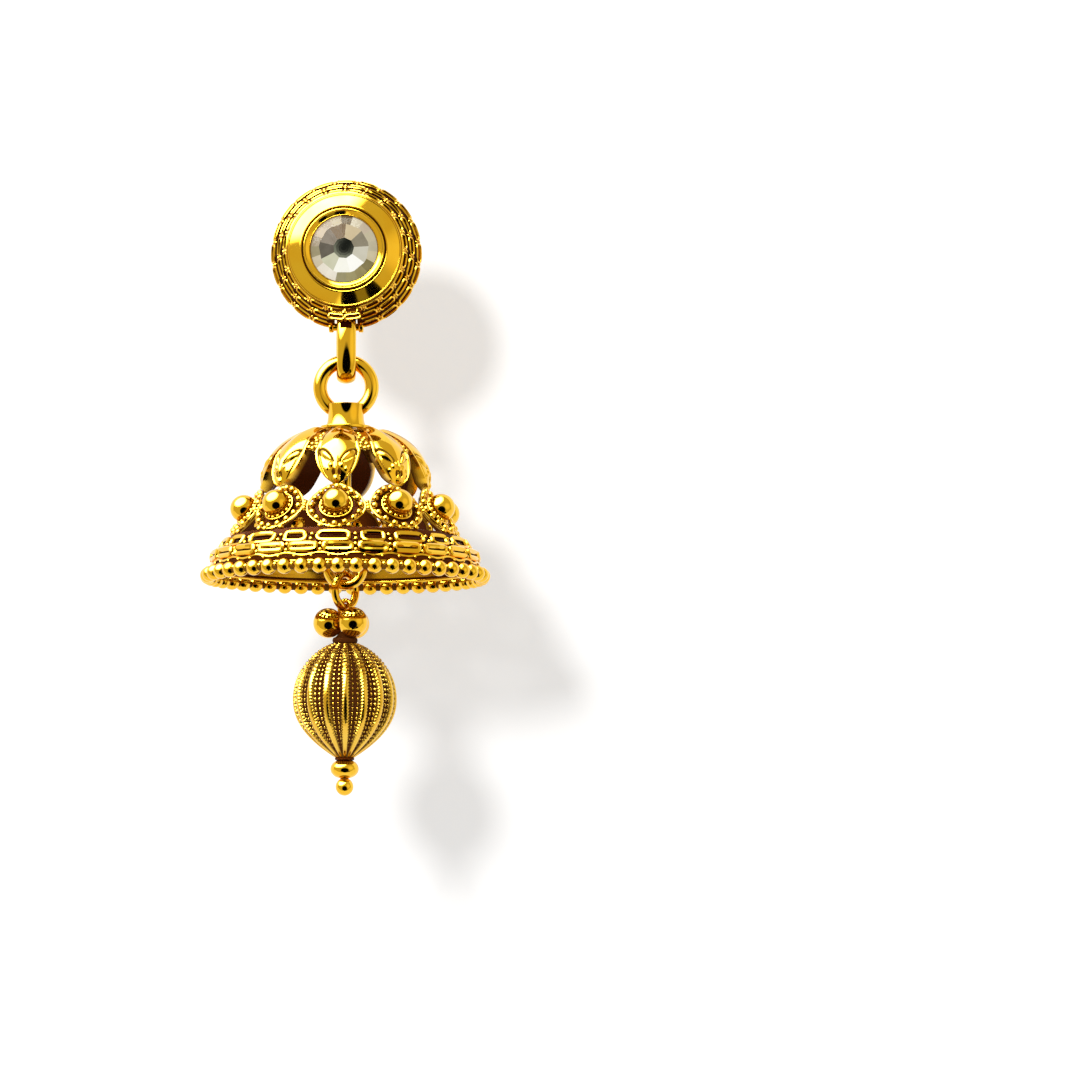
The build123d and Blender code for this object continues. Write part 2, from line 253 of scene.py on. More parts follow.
def rounded(corners: Corners, bevel: float, closed: bool = True, steps: int = 4) -> np.ndarray:
    """Cuts the corners of an outline with quadratic curves that start and end a bevel away from the corner:
    (1 - t)^2 times the start, 2 t (1 - t) times the corner and t^2 times the end.

    Args:
        corners: Radius and height of each corner.
        bevel: Distance from a corner to the ends of its curve.
        closed: False keeps the first and the last corner as they are.
        steps: Points on each curve.

    Returns:
        The outline, n by 2.
    """
    corner = np.array(corners, float)
    back, ahead = np.roll(corner, 1, 0) - corner, np.roll(corner, -1, 0) - corner
    lengths = (np.linalg.norm(edge, axis=1, keepdims=True) for edge in (back, ahead))
    near, far = (np.minimum(bevel, CUT_LIMIT * length) for length in lengths)
    start, end = corner + unit(back) * near, corner + unit(ahead) * far
    t = np.linspace(0, 1, steps)[:, None]
    curves = (1 - t) ** 2 * start[:, None] + 2 * t * (1 - t) * corner[:, None] + t**2 * end[:, None]
    if closed:
        return curves.reshape(-1, 2)
    return np.concatenate([corner[:1], curves[1:-1].reshape(-1, 2), corner[-1:]])


def spaced(count: int, front: float, shift: float = 0.0) -> np.ndarray:
    """Even angles round a turn, from front degrees on, moved by shift times their spacing."""
    return math.radians(front) + FULL_TURN / count * (np.arange(count) + shift)


def smooth_step(value: np.ndarray, low: float, high: float) -> np.ndarray:
    """0 below low, 1 above high, and a cubic 3 t^2 - 2 t^3 between them; low may be above high."""
    t = np.clip((value - low) / (high - low), 0, 1)
    return t * t * (3 - 2 * t)


@dataclass(frozen=True)
class Spindle:
    """Axis that round pieces are turned about, in millimetres.

    Attributes:
        origin: A point on the axis, at height 0.
        right: Direction of a quarter turn.
        ahead: Direction of angle 0.
        up: Direction in which height grows.
    """

    origin: Place
    right: Place
    ahead: Place
    up: Place

    def place(self, radius: np.ndarray, angle: np.ndarray, height: np.ndarray) -> np.ndarray:
        """Places points: radius times the sine of the angle to the right, and times its cosine ahead.

        Args:
            radius: Distance of each from the axis.
            angle: Angle of each, in radians.
            height: Height of each.

        Returns:
            The places, with one more axis of 3.
        """
        radius, angle, height = (np.asarray(value, float)[..., None] for value in (radius, angle, height))
        flat = radius * (np.sin(angle) * self.right + np.cos(angle) * self.ahead)
        return np.asarray(self.origin) + flat + height * self.up

    def turned(
        self, outline: np.ndarray, segments: int, closed: bool = True, shade_and_patina: np.ndarray | float = 0.0
    ) -> Shape:
        """Turns an outline about the axis, so each of its points runs round a circle.

        Args:
            outline: Radius and height of each point.
            segments: Points on a circle.
            closed: False for an outline that starts and ends on the axis.
            shade_and_patina: Depth value, one for all or one for each point of the outline.

        Returns:
            The closed shape.
        """
        angle = np.linspace(0, FULL_TURN, segments, endpoint=False)
        inside = slice(None) if closed else slice(1, -1)
        body, depth = outline[inside], np.broadcast_to(shade_and_patina, len(outline))[inside]
        loops = self.place(body[:, :1], angle, body[:, 1:])
        caps = None if closed else self.place(np.zeros(2), np.zeros(2), outline[[0, -1], 1])[None]
        return lofted(loops, closed, caps, depth[:, None])

    def swept(self, outline: np.ndarray, start: float, end: float, steps: int, shade_and_patina: float = 0.0) -> Shape:
        """Turns a closed outline through part of a turn, from the angle start to the angle end."""
        angle = np.linspace(start, end, steps)[:, None]
        return lofted(self.place(outline[:, 0], angle, outline[:, 1]), False, None, shade_and_patina)

    def hoop(
        self, radius: float, wire: float, height: float, segments: int, sides: int, shade_and_patina: float = 0.0
    ) -> Shape:
        """Round wire ring about the axis.

        Args:
            radius: Radius of the wire's middle line.
            wire: Half the wire's thickness.
            height: Height of the ring.
            segments: Points round the ring.
            sides: Points round the wire.
            shade_and_patina: Depth value.

        Returns:
            The closed shape.
        """
        turn = np.linspace(0, FULL_TURN, sides, endpoint=False)
        outline = np.stack([radius + wire * np.cos(turn), height + wire * np.sin(turn)], 1)
        return self.turned(outline, segments, True, shade_and_patina)


@dataclass(frozen=True)
class Slope:
    """Surface of revolution that patterns are laid on.

    Attributes:
        spindle: Its axis.
        line: Radius and height along it, n by 2, from its inner or upper end outwards and down.
    """

    spindle: Spindle
    line: np.ndarray

    @property
    def run(self) -> np.ndarray:
        """Distance of each point of the line from its start."""
        return np.concatenate([[0], np.cumsum(np.hypot(*np.diff(self.line, axis=0).T))])

    def radius(self, along: np.ndarray | float) -> np.ndarray:
        """Radius at a distance along the line."""
        return np.interp(along, self.run, self.line[:, 0])

    def lay(self, along: np.ndarray, angle: np.ndarray, out: np.ndarray | float) -> np.ndarray:
        """Places of points on the slope: the line's point, moved off the surface along the side that the
        line's direction has to its left, turned about the axis.

        Args:
            along: Distance from the line's start.
            angle: Angle in radians.
            out: Distance off the surface.

        Returns:
            The places, with one more axis of 3.
        """
        along, angle, out = np.broadcast_arrays(along, angle, out)
        run = self.run
        heading = unit(np.gradient(self.line, run, axis=0))
        radius = np.interp(along, run, self.line[:, 0]) - out * np.interp(along, run, heading[:, 1])
        height = np.interp(along, run, self.line[:, 1]) + out * np.interp(along, run, heading[:, 0])
        return self.spindle.place(radius, angle, height)

    def wire(
        self,
        along: np.ndarray,
        angle: np.ndarray,
        out: np.ndarray | float,
        radius: float,
        sides: int = 8,
        closed: bool = True,
        shade_and_patina: float = 0.0,
    ) -> Shape:
        """Wire laid on the slope, through points given by distance and angle; see tube for the rest."""
        path = self.lay(along, angle, out)
        return tube(path, self.lay(along, angle, out + 1.0) - path, radius, sides, closed, 1.0, shade_and_patina)

    def frames(
        self,
        along: float,
        angles: np.ndarray,
        outline: np.ndarray,
        out: float,
        radius: float,
        lean: float = 0.0,
    ) -> Shape:
        """Closed wire frames, one at each angle.

        Args:
            along: Distance of their middles along the line.
            angles: Angles of their middles.
            outline: Their outline in millimetres across and along.
            out: Distance of their middles off the surface.
            radius: Half the wire's thickness.
            lean: How far the upper edge stands further out, as a share of its distance from the middle.

        Returns:
            The closed shape of all frames.
        """
        angle = angles[:, None] + outline[:, 0] / self.radius(along)
        run = np.broadcast_to(along + outline[:, 1], angle.shape)
        return self.wire(run, angle, out - lean * outline[:, 1], radius)

    def grains(
        self,
        along: np.ndarray,
        angle: np.ndarray,
        out: float,
        radius: np.ndarray,
        stretch: float,
        shade_and_patina: float,
    ) -> Shape:
        """Small grains on the slope: balls drawn out along the line.

        Args:
            along: Distance of each along the line.
            angle: Angle of each.
            out: Distance off the surface.
            radius: Half width of each.
            stretch: Length as a share of the width.
            shade_and_patina: Depth value.

        Returns:
            The closed shape of all grains.
        """
        middle = self.lay(along, angle, out)
        down = unit(self.lay(along + SMALL_STEP, angle, out) - self.lay(along - SMALL_STEP, angle, out))
        outward = unit(self.lay(along, angle, out + 1.0) - middle)
        across = np.cross(down, outward)
        polar = np.linspace(0, math.pi, GRAIN[0])[1:-1, None, None]
        turn = np.linspace(0, FULL_TURN, GRAIN[1], endpoint=False)[:, None]
        size = np.asarray(radius)[:, None, None, None]
        ring = np.cos(turn) * across[:, None, None] + np.sin(turn) * outward[:, None, None]
        ring = np.sin(polar) * ring + stretch * np.cos(polar) * down[:, None, None]
        loops = middle[:, None, None] + size * ring
        ends = middle[:, None] + size[:, 0] * stretch * np.stack([down, -down], 1)
        return lofted(loops, False, ends, shade_and_patina)

    def band(self, start: float, end: float, top: float, foot: float, segments: int, shade_and_patina: Pair) -> Shape:
        """Thin wall round the whole slope.

        Args:
            start: Distance along the line where it starts.
            end: Distance along the line where it ends.
            top: Distance of its outside off the surface.
            foot: Distance of its inside off the surface.
            segments: Points on a circle.
            shade_and_patina: Depth value outside and inside.

        Returns:
            The closed shape.
        """
        count = max(2, int((end - start) / BAND_STEP))
        along = np.linspace(start, end, count)
        along = np.concatenate([along, along[::-1]])
        out = np.repeat([top, foot], count)
        angle = np.linspace(0, FULL_TURN, segments, endpoint=False)
        depth = np.repeat(shade_and_patina, count)[:, None]
        return lofted(self.lay(along[:, None], angle, out[:, None]), True, None, depth)


@dataclass(frozen=True)
class Extent:
    """Box of a construction node, in millimetres."""

    low: np.ndarray
    high: np.ndarray

    @classmethod
    def of(cls, node: str) -> "Extent":
        """Reads the box of a node from the frame."""
        low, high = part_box(node)
        return cls(np.array(low) / MM, np.array(high) / MM)

    @property
    def middle(self) -> np.ndarray:
        """Centre of the box."""
        return (self.low + self.high) / 2

    @property
    def size(self) -> np.ndarray:
        """Lengths of the box's sides."""
        return self.high - self.low


# --- Finishes -----------------------------------------------------------------------------------------------


class Slot(Enum):
    """Material slots of the record."""

    GOLD = "gold"
    ANTIQUED = "antiqued_gold"
    CRYSTAL = "crystal"


class NodeSheet:
    """Short way to fill a node tree."""

    def __init__(self, tree: bpy.types.NodeTree) -> None:
        """Starts with an empty tree."""
        self.tree = tree
        tree.nodes.clear()

    def node(self, kind: str, settings: dict | None = None, **sockets: object) -> bpy.types.Node:
        """Adds a node.

        Args:
            kind: Type of the node without the ShaderNode prefix.
            settings: Properties of the node.
            sockets: Values or output sockets for its inputs, with _ for a space in a name. A name such as
                i6 means the input's number.

        Returns:
            The node.
        """
        made = self.tree.nodes.new("ShaderNode" + kind)
        for name, value in (settings or {}).items():
            setattr(made, name, value)
        for name, value in sockets.items():
            socket = made.inputs[int(name[1:]) if name[1:].isdigit() else name.replace("_", " ")]
            if isinstance(value, bpy.types.NodeSocket):
                self.tree.links.new(value, socket)
            else:
                socket.default_value = value
        return made

    def mix(self, share: object, first: object, second: object) -> bpy.types.NodeSocket:
        """Mixes two colours by share and gives the result's socket."""
        made = self.node("Mix", {"data_type": "RGBA"}, i0=share, i6=first, i7=second)
        return made.outputs[2]

    def spread(self, value: bpy.types.NodeSocket, low: float, high: float) -> bpy.types.NodeSocket:
        """Maps the usual reach of noise to low to high.

        Args:
            value: Socket of the noise.
            low: Result at the lower end of its reach.
            high: Result at the upper end.

        Returns:
            The result's socket.
        """
        least, most = NOISE_REACH
        ends = {"From_Min": least, "From_Max": most, "To_Min": low, "To_Max": high}
        return self.node("MapRange", None, Value=value, **ends).outputs[0]

    def noise(self, scale: float, detail: float) -> bpy.types.NodeSocket:
        """Noise on object coordinates.

        Args:
            scale: How many of its patches lie on a metre.
            detail: How many finer layers it has.

        Returns:
            The noise's socket.
        """
        place = self.node("TexCoord").outputs["Object"]
        return self.node("TexNoise", None, Vector=place, Scale=scale, Detail=detail).outputs[0]


def fresh_material(name: str) -> tuple[bpy.types.Material, NodeSheet]:
    """Adds a material whose node tree is empty.

    Args:
        name: Name of the material.

    Returns:
        The material, and the sheet that fills its tree.
    """
    material = bpy.data.materials.new(name)
    material.use_nodes = True
    return material, NodeSheet(material.node_tree)


@dataclass(frozen=True)
class GoldFinish:
    """Yellow gold, polished on its high places and darker where the recess attribute is high: painted shade
    on polished and turned gold, and patina on antiqued gold.

    Attributes:
        name: Name of the material.
        polished: Colour of high places.
        warm: Second colour that patches of the high places lean to.
        shade_and_patina_colour: Colour in the grooves: painted shade on polished and turned gold, and patina
            on antiqued gold.
        roughness: Least and greatest roughness of high places.
        recess_roughness: Roughness in the grooves.
        recess_metal: How metallic the grooves still are under their painted shade and patina.
        recess_shine: Specular level of the painted shade and the patina.
        shade_and_patina_fade: Values of the recess attribute at which metal starts and stops giving way to
            the dark colour of painted shade and patina.
        wave: Height of the surface's slow waviness, in metres.
        wave_strength: Strength of that waviness.
        patches: Scale and detail of the slow noise, which gives the patches and the waviness.
        grain: Scale and detail of the fine noise, which gives the roughness.
    """

    name: str
    polished: Colour = (0.93, 0.57, 0.05, 1.0)
    warm: Colour = (0.92, 0.5, 0.03, 1.0)
    shade_and_patina_colour: Colour = (0.1, 0.022, 0.002, 1.0)
    roughness: Pair = (0.04, 0.09)
    recess_roughness: float = 0.34
    recess_metal: float = 0.03
    recess_shine: float = 0.02
    shade_and_patina_fade: Pair = (0.25, 0.9)
    wave: float = 1.2e-5
    wave_strength: float = 0.5
    patches: Pair = (420.0, 2.0)
    grain: Pair = (5200.0, 3.0)

    def make(self) -> bpy.types.Material:
        """Builds the material from noise at two scales and the recess attribute.

        Returns:
            The material.
        """
        material, sheet = fresh_material(self.name)
        shade_and_patina = sheet.node("Attribute", {"attribute_name": "shade_and_patina"}).outputs["Fac"]
        slow, fine = (sheet.noise(*noise) for noise in (self.patches, self.grain))
        high = sheet.mix(sheet.spread(slow, 0.0, 1.0), self.polished, self.warm)
        rough = sheet.node(
            "Mix", {"data_type": "FLOAT"}, i0=shade_and_patina, i2=sheet.spread(fine, *self.roughness),
            i3=self.recess_roughness,
        )
        bump = sheet.node("Bump", None, Height=slow, Strength=self.wave_strength, Distance=self.wave)
        metal = sheet.node(
            "MapRange", None, Value=shade_and_patina, From_Min=self.shade_and_patina_fade[0], From_Max=self.shade_and_patina_fade[1], To_Min=1.0,
            To_Max=self.recess_metal,
        )
        shader = sheet.node(
            # painted shade, and patina on antiqued gold: colour and metal darken where the recess attribute
            # is high
            "BsdfPrincipled", None, Base_Color=sheet.mix(shade_and_patina, high, self.shade_and_patina_colour),
            Metallic=metal.outputs[0], Roughness=rough.outputs[0], Normal=bump.outputs[0],
            Specular_IOR_Level=self.recess_shine,
        )
        sheet.node("OutputMaterial", None, Surface=shader.outputs[0])
        return material


@dataclass(frozen=True)
class CrystalFinish:
    """Champagne crystal with painted reflections: each facet shows its own tone, the stone's colour below the
    crown and a painted reflection on it, under a clear polished surface.

    Attributes:
        name: Name of the material.
        roughness: Roughness of the surface.
        shine: Specular level of the surface.
        cloud: Scale and detail of the noise that clouds a facet.
        cloud_share: Most that the noise takes a tint towards its deeper shade.
        deeper: Power that makes a tint's deeper shade.
    """

    name: str = "crystal_finish"
    roughness: float = 0.1
    shine: float = 0.08
    cloud: Pair = (900.0, 2.0)
    cloud_share: float = 0.6
    deeper: float = 1.35

    def make(self) -> bpy.types.Material:
        """Builds the material from the facet attribute of colours and painted reflections, with a little
        cloudiness in each facet.

        Returns:
            The material.
        """
        material, sheet = fresh_material(self.name)
        # painted reflections: each facet's light or dark tone comes from its attribute
        tint = sheet.node("Attribute", {"attribute_name": "facet_colour_and_reflection"}).outputs["Color"]
        shade = sheet.node("Gamma", None, Color=tint, Gamma=self.deeper).outputs[0]
        colour = sheet.mix(sheet.spread(sheet.noise(*self.cloud), 0.0, self.cloud_share), tint, shade)
        shader = sheet.node(
            "BsdfPrincipled", None, Base_Color=colour, Metallic=0.0, Roughness=self.roughness,
            Specular_IOR_Level=self.shine,
        )
        sheet.node("OutputMaterial", None, Surface=shader.outputs[0])
        return material


class Finishes:
    """All finishes of the earring, made once."""

    def __init__(self) -> None:
        """Builds the materials."""
        # polished and turned gold darken to painted shade where the recess attribute is high; antiqued gold
        # darkens to its patina
        self.gold = GoldFinish("polished_gold").make()
        self.turned_gold = GoldFinish("turned_gold", roughness=(0.07, 0.1), wave=2e-6).make()
        self.antiqued = GoldFinish(
            "antiqued_gold",
            polished=(0.88, 0.56, 0.08, 1.0),
            warm=(0.84, 0.47, 0.045, 1.0),
            shade_and_patina_colour=(0.09, 0.026, 0.005, 1.0),
            roughness=(0.1, 0.2),
            recess_roughness=0.55,
        ).make()
        self.crystal = CrystalFinish().make()


# --- Pieces -------------------------------------------------------------------------------------------------


@dataclass
class Jeweller:
    """Turns shapes into pieces of the earring and sets them on their bodies.

    Attributes:
        finishes: The earring's materials.
    """

    finishes: Finishes

    sharp_angle = math.radians(38)

    def piece(
        self,
        name: str,
        shape: Shape,
        body: str,
        *nodes: str,
        material: bpy.types.Material | None = None,
        slot: Slot = Slot.GOLD,
        even: bool = False,
    ) -> bpy.types.Object:
        """Args:
            name: Name of the piece.
            shape: Its closed surface.
            body: Body that it rides on.
            nodes: Construction nodes that it stands for.
            material: Its finish, polished gold by default.
            slot: The record's material slot; not used.
            even: True for turned pieces whose flats should shade flat.

        Returns:
            The object.
        """
        mesh = bpy.data.meshes.new(name)
        mesh.vertices.add(len(shape.points))
        mesh.vertices.foreach_set("co", (shape.points * MM).astype(np.float32).ravel())
        corners = np.concatenate([ring.ravel() for ring in shape.faces]).astype(np.int32)
        sides = np.concatenate([np.full(len(ring), ring.shape[1]) for ring in shape.faces])
        mesh.loops.add(len(corners))
        mesh.loops.foreach_set("vertex_index", corners)
        mesh.polygons.add(len(sides))
        mesh.polygons.foreach_set("loop_start", (np.cumsum(sides) - sides).astype(np.int32))
        mesh.update(calc_edges=True)
        mesh.validate()
        mesh.polygons.foreach_set("use_smooth", np.ones(len(sides), bool))
        mesh.set_sharp_from_angle(angle=self.sharp_angle)
        # each point's value of painted shade, which on antiqued gold is its patina
        shade_and_patina = mesh.attributes.new("shade_and_patina", "FLOAT", "POINT")
        shade_and_patina.data.foreach_set("value", shape.shade_and_patina.astype(np.float32))
        mesh.materials.append(material or self.finishes.gold)
        made = bpy.data.objects.new(name, mesh)
        bpy.context.scene.collection.objects.link(made)
        if even:
            made.modifiers.new("even_shading", "WEIGHTED_NORMAL").keep_sharp = True
        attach(made, body)
        if nodes:
            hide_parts(*nodes)
        log.info("%s: %d points, %d faces on %s", name, len(shape.points), len(sides), body)
        return made


HANG_Y = float(Extent.of("ribbed_bead").middle[1])
# angle 0 is at the bottom of the stud, and height grows towards the front
STUD_AXIS = Spindle((0, 0, 0), (1, 0, 0), (0, 0, -1), (0, -1, 0))
# angle 0 faces front
HANG_AXIS = Spindle((0, HANG_Y, 0), (1, 0, 0), (0, -1, 0), (0, 0, 1))


@dataclass
class StoneSetting(Jeweller):
    """Bevel ring, bezel and faceted stone on the front of the stud.

    Corners are radius and height. A fade is the start and the end of a smooth step. Turns are degrees from
    the right, anticlockwise as seen from the front.
    """

    segments: int = 192
    bevel_corners: Corners = (
        (3.8, 2.75), (4.5, 2.75), (4.5, 3.35), (5.12, 3.35), (5.12, 3.47), (5.04, 3.52),
        (4.97, 3.44), (3.97, 4.27), (3.86, 4.29), (3.8, 4.22),
    )
    bevel_edge: float = 0.05
    # painted shade on the ring's lower inner wall: the heights of its fade, and the radius inside which it
    # lies
    bevel_shade_fade: Pair = (3.9, 3.4)
    bevel_shade_r: float = 4.4
    bezel_corners: Corners = (
        (0.0, 2.75), (3.75, 2.75), (3.75, 4.05), (3.66, 4.2), (3.64, 4.38), (3.53, 4.4), (3.46, 4.29),
        (3.13, 4.04), (3.07, 4.1), (3.03, 4.0), (3.03, 3.7), (0.55, 3.12), (0.0, 3.12),
    )
    bezel_edge: float = 0.04
    groove_r: float = 3.74
    groove_half: float = 0.05
    # heights of the fade of the painted shade in the groove
    groove_shade_fade: Pair = (4.28, 4.1)
    culet: Pair = (0.5, 3.2)
    girdle_low: Pair = (3.0, 3.75)
    girdle_high: Pair = (3.0, 3.95)
    shoulder: Pair = (2.24, 4.35)
    table: Pair = (0.94, 4.6)
    table_rings: tuple[float, ...] = (0.25, 0.5, 0.75)
    facets: int = 9
    first_corner: float = 5.0
    short_edge: float = 10.0
    column_turn: int = 5
    # painted reflections: the table's dark middle and lighter edge, and the light and dark tones of the
    # crown's facets
    table_dark_reflection: Triple = (0.012, 0.014, 0.012)
    table_edge_reflection: Triple = (0.22, 0.23, 0.17)
    table_light: float = 235.0
    table_shares: tuple[float, ...] = (1.0, 0.45, 0.12)
    under_tint: Triple = (0.5, 0.46, 0.36)
    main_reflections: tuple[Triple, ...] = (
        (0.29, 0.26, 0.19), (0.62, 0.52, 0.34), (0.24, 0.17, 0.1), (0.27, 0.23, 0.18), (0.14, 0.125, 0.1),
        (0.6, 0.6, 0.45), (0.9, 0.9, 0.82), (0.95, 0.95, 0.9), (0.62, 0.6, 0.5),
    )
    outer_reflections: tuple[Triple, ...] = (
        (0.6, 0.55, 0.4), (0.62, 0.54, 0.42), (0.72, 0.66, 0.5), (0.2, 0.15, 0.08), (0.6, 0.52, 0.36),
        (0.55, 0.46, 0.34), (0.6, 0.5, 0.36), (0.4, 0.33, 0.23), (0.36, 0.32, 0.2), (0.62, 0.56, 0.42),
        (0.82, 0.78, 0.68), (0.85, 0.82, 0.72), (0.4, 0.37, 0.22), (0.42, 0.38, 0.2), (0.38, 0.33, 0.16),
        (0.28, 0.24, 0.11), (0.66, 0.6, 0.42), (0.58, 0.54, 0.4),
    )

    def make(self) -> None:
        """Builds the three pieces."""
        bevel = rounded(self.bevel_corners, self.bevel_edge)
        # painted shade on the bevel ring's lower inner wall, under the bezel
        dark = smooth_step(bevel[:, 1], *self.bevel_shade_fade) * (bevel[:, 0] < self.bevel_shade_r)
        bezel = rounded(self.bezel_corners, self.bezel_edge, closed=False)
        # painted shade in the groove between ring and bezel, darker towards its foot
        groove = np.abs(bezel[:, 0] - self.groove_r) < self.groove_half
        groove = groove * smooth_step(bezel[:, 1], *self.groove_shade_fade)
        metal = {"material": self.finishes.turned_gold, "even": True}
        slope = STUD_AXIS.turned(bevel, self.segments, True, dark)
        self.piece("bevel_slope", slope, "stud", "bevel_ring", **metal)
        funnel = STUD_AXIS.turned(bezel, self.segments, False, groove)
        self.piece("bezel_funnel", funnel, "stud", "stone_bezel", **metal)
        stone = self.piece(
            "faceted_stone", lofted(self.stone_loops()), "stud", "stone", material=self.finishes.crystal,
            slot=Slot.CRYSTAL,
        )
        stone.data.polygons.foreach_set("use_smooth", np.zeros(len(stone.data.polygons), bool))
        # painted reflections, one tone a facet
        painted_facets = stone.data.attributes.new("facet_colour_and_reflection", "FLOAT_COLOR", "FACE")
        painted_facets.data.foreach_set("color", self.facet_colours_and_reflections().ravel())

    @property
    def turns(self) -> np.ndarray:
        """Degrees of the stone's columns of points."""
        return self.first_corner + np.arange(0, 360, self.column_turn)

    def chord_radius(self, corners: np.ndarray, radius: float) -> np.ndarray:
        """Distance from the middle to the straight edges between corners on a circle: the apothem of the
        edge, radius times the cosine of half its angle, over the cosine of the angle from the edge's middle.

        Args:
            corners: Degrees of the corners, rising, with the first repeated a full turn later.
            radius: Radius of the corners.

        Returns:
            The distances at the stone's columns.
        """
        edge = np.searchsorted(corners, self.turns, side="right") - 1
        edge = np.clip(edge, 0, len(corners) - 2)
        half = np.radians(corners[edge + 1] - corners[edge]) / 2
        middle = np.radians(corners[edge + 1] + corners[edge]) / 2
        return radius * np.cos(half) / np.cos(np.radians(self.turns) - middle)

    def stone_loops(self) -> np.ndarray:
        """Places the stone's rings of points: round at the culet and the girdle, with long and short edges by
        turns at the shoulder, and with one long edge a facet at the table, which shrinks to its middle.

        Returns:
            Places, rings by columns by 3.
        """
        wide = self.first_corner + 360 / self.facets * np.arange(self.facets + 1)
        both = np.sort(np.concatenate([wide, wide[:-1] + self.short_edge]))
        flat = np.ones(len(self.turns))
        table_r = self.chord_radius(wide, self.table[0])
        circles = (self.culet, self.girdle_low, self.girdle_high)
        rings = [(radius * flat, height) for radius, height in circles]
        rings.append((self.chord_radius(both, self.shoulder[0]), self.shoulder[1]))
        rings += [(table_r * (1 - share), self.table[1]) for share in (0, *self.table_rings)]
        radius = np.stack([ring[0] for ring in rings])
        height = np.array([ring[1] for ring in rings])[:, None]
        # STUD_AXIS measures its angle from the bottom, a quarter turn before the right
        return STUD_AXIS.place(radius, np.radians(self.turns + 90), height)

    def facet_colours_and_reflections(self) -> np.ndarray:
        """Paints each facet's tone: the stone's own champagne colour under the crown, and painted reflections
        on the crown. The table's rings go from a dark middle to a lighter edge, a painted highlight that is
        most where the cosine of the angle from the light side is high.

        Returns:
            One colour a face, ring after ring and then the two ends.
        """
        pitch = 360 / self.facets
        columns = len(self.turns)
        middle = self.turns + self.column_turn / 2
        main = np.array(self.main_reflections)[((middle - self.first_corner) // pitch).astype(int) % self.facets]
        start = self.first_corner + self.short_edge
        outer = np.array(self.outer_reflections)[((middle - start) % 360 // (pitch / 2)).astype(int)]
        lean = 0.5 + 0.5 * np.cos(np.radians(middle - self.table_light))
        low, edge = np.array(self.table_dark_reflection), np.array(self.table_edge_reflection)
        tables = [low + (edge - low) * (lean * share)[:, None] for share in self.table_shares]
        under = np.broadcast_to(self.under_tint, (columns, 3))
        tint = np.concatenate([under, under, outer, main, *tables, under, np.broadcast_to(low, (columns, 3))])
        return np.concatenate([tint, np.ones((len(tint), 1))], 1)


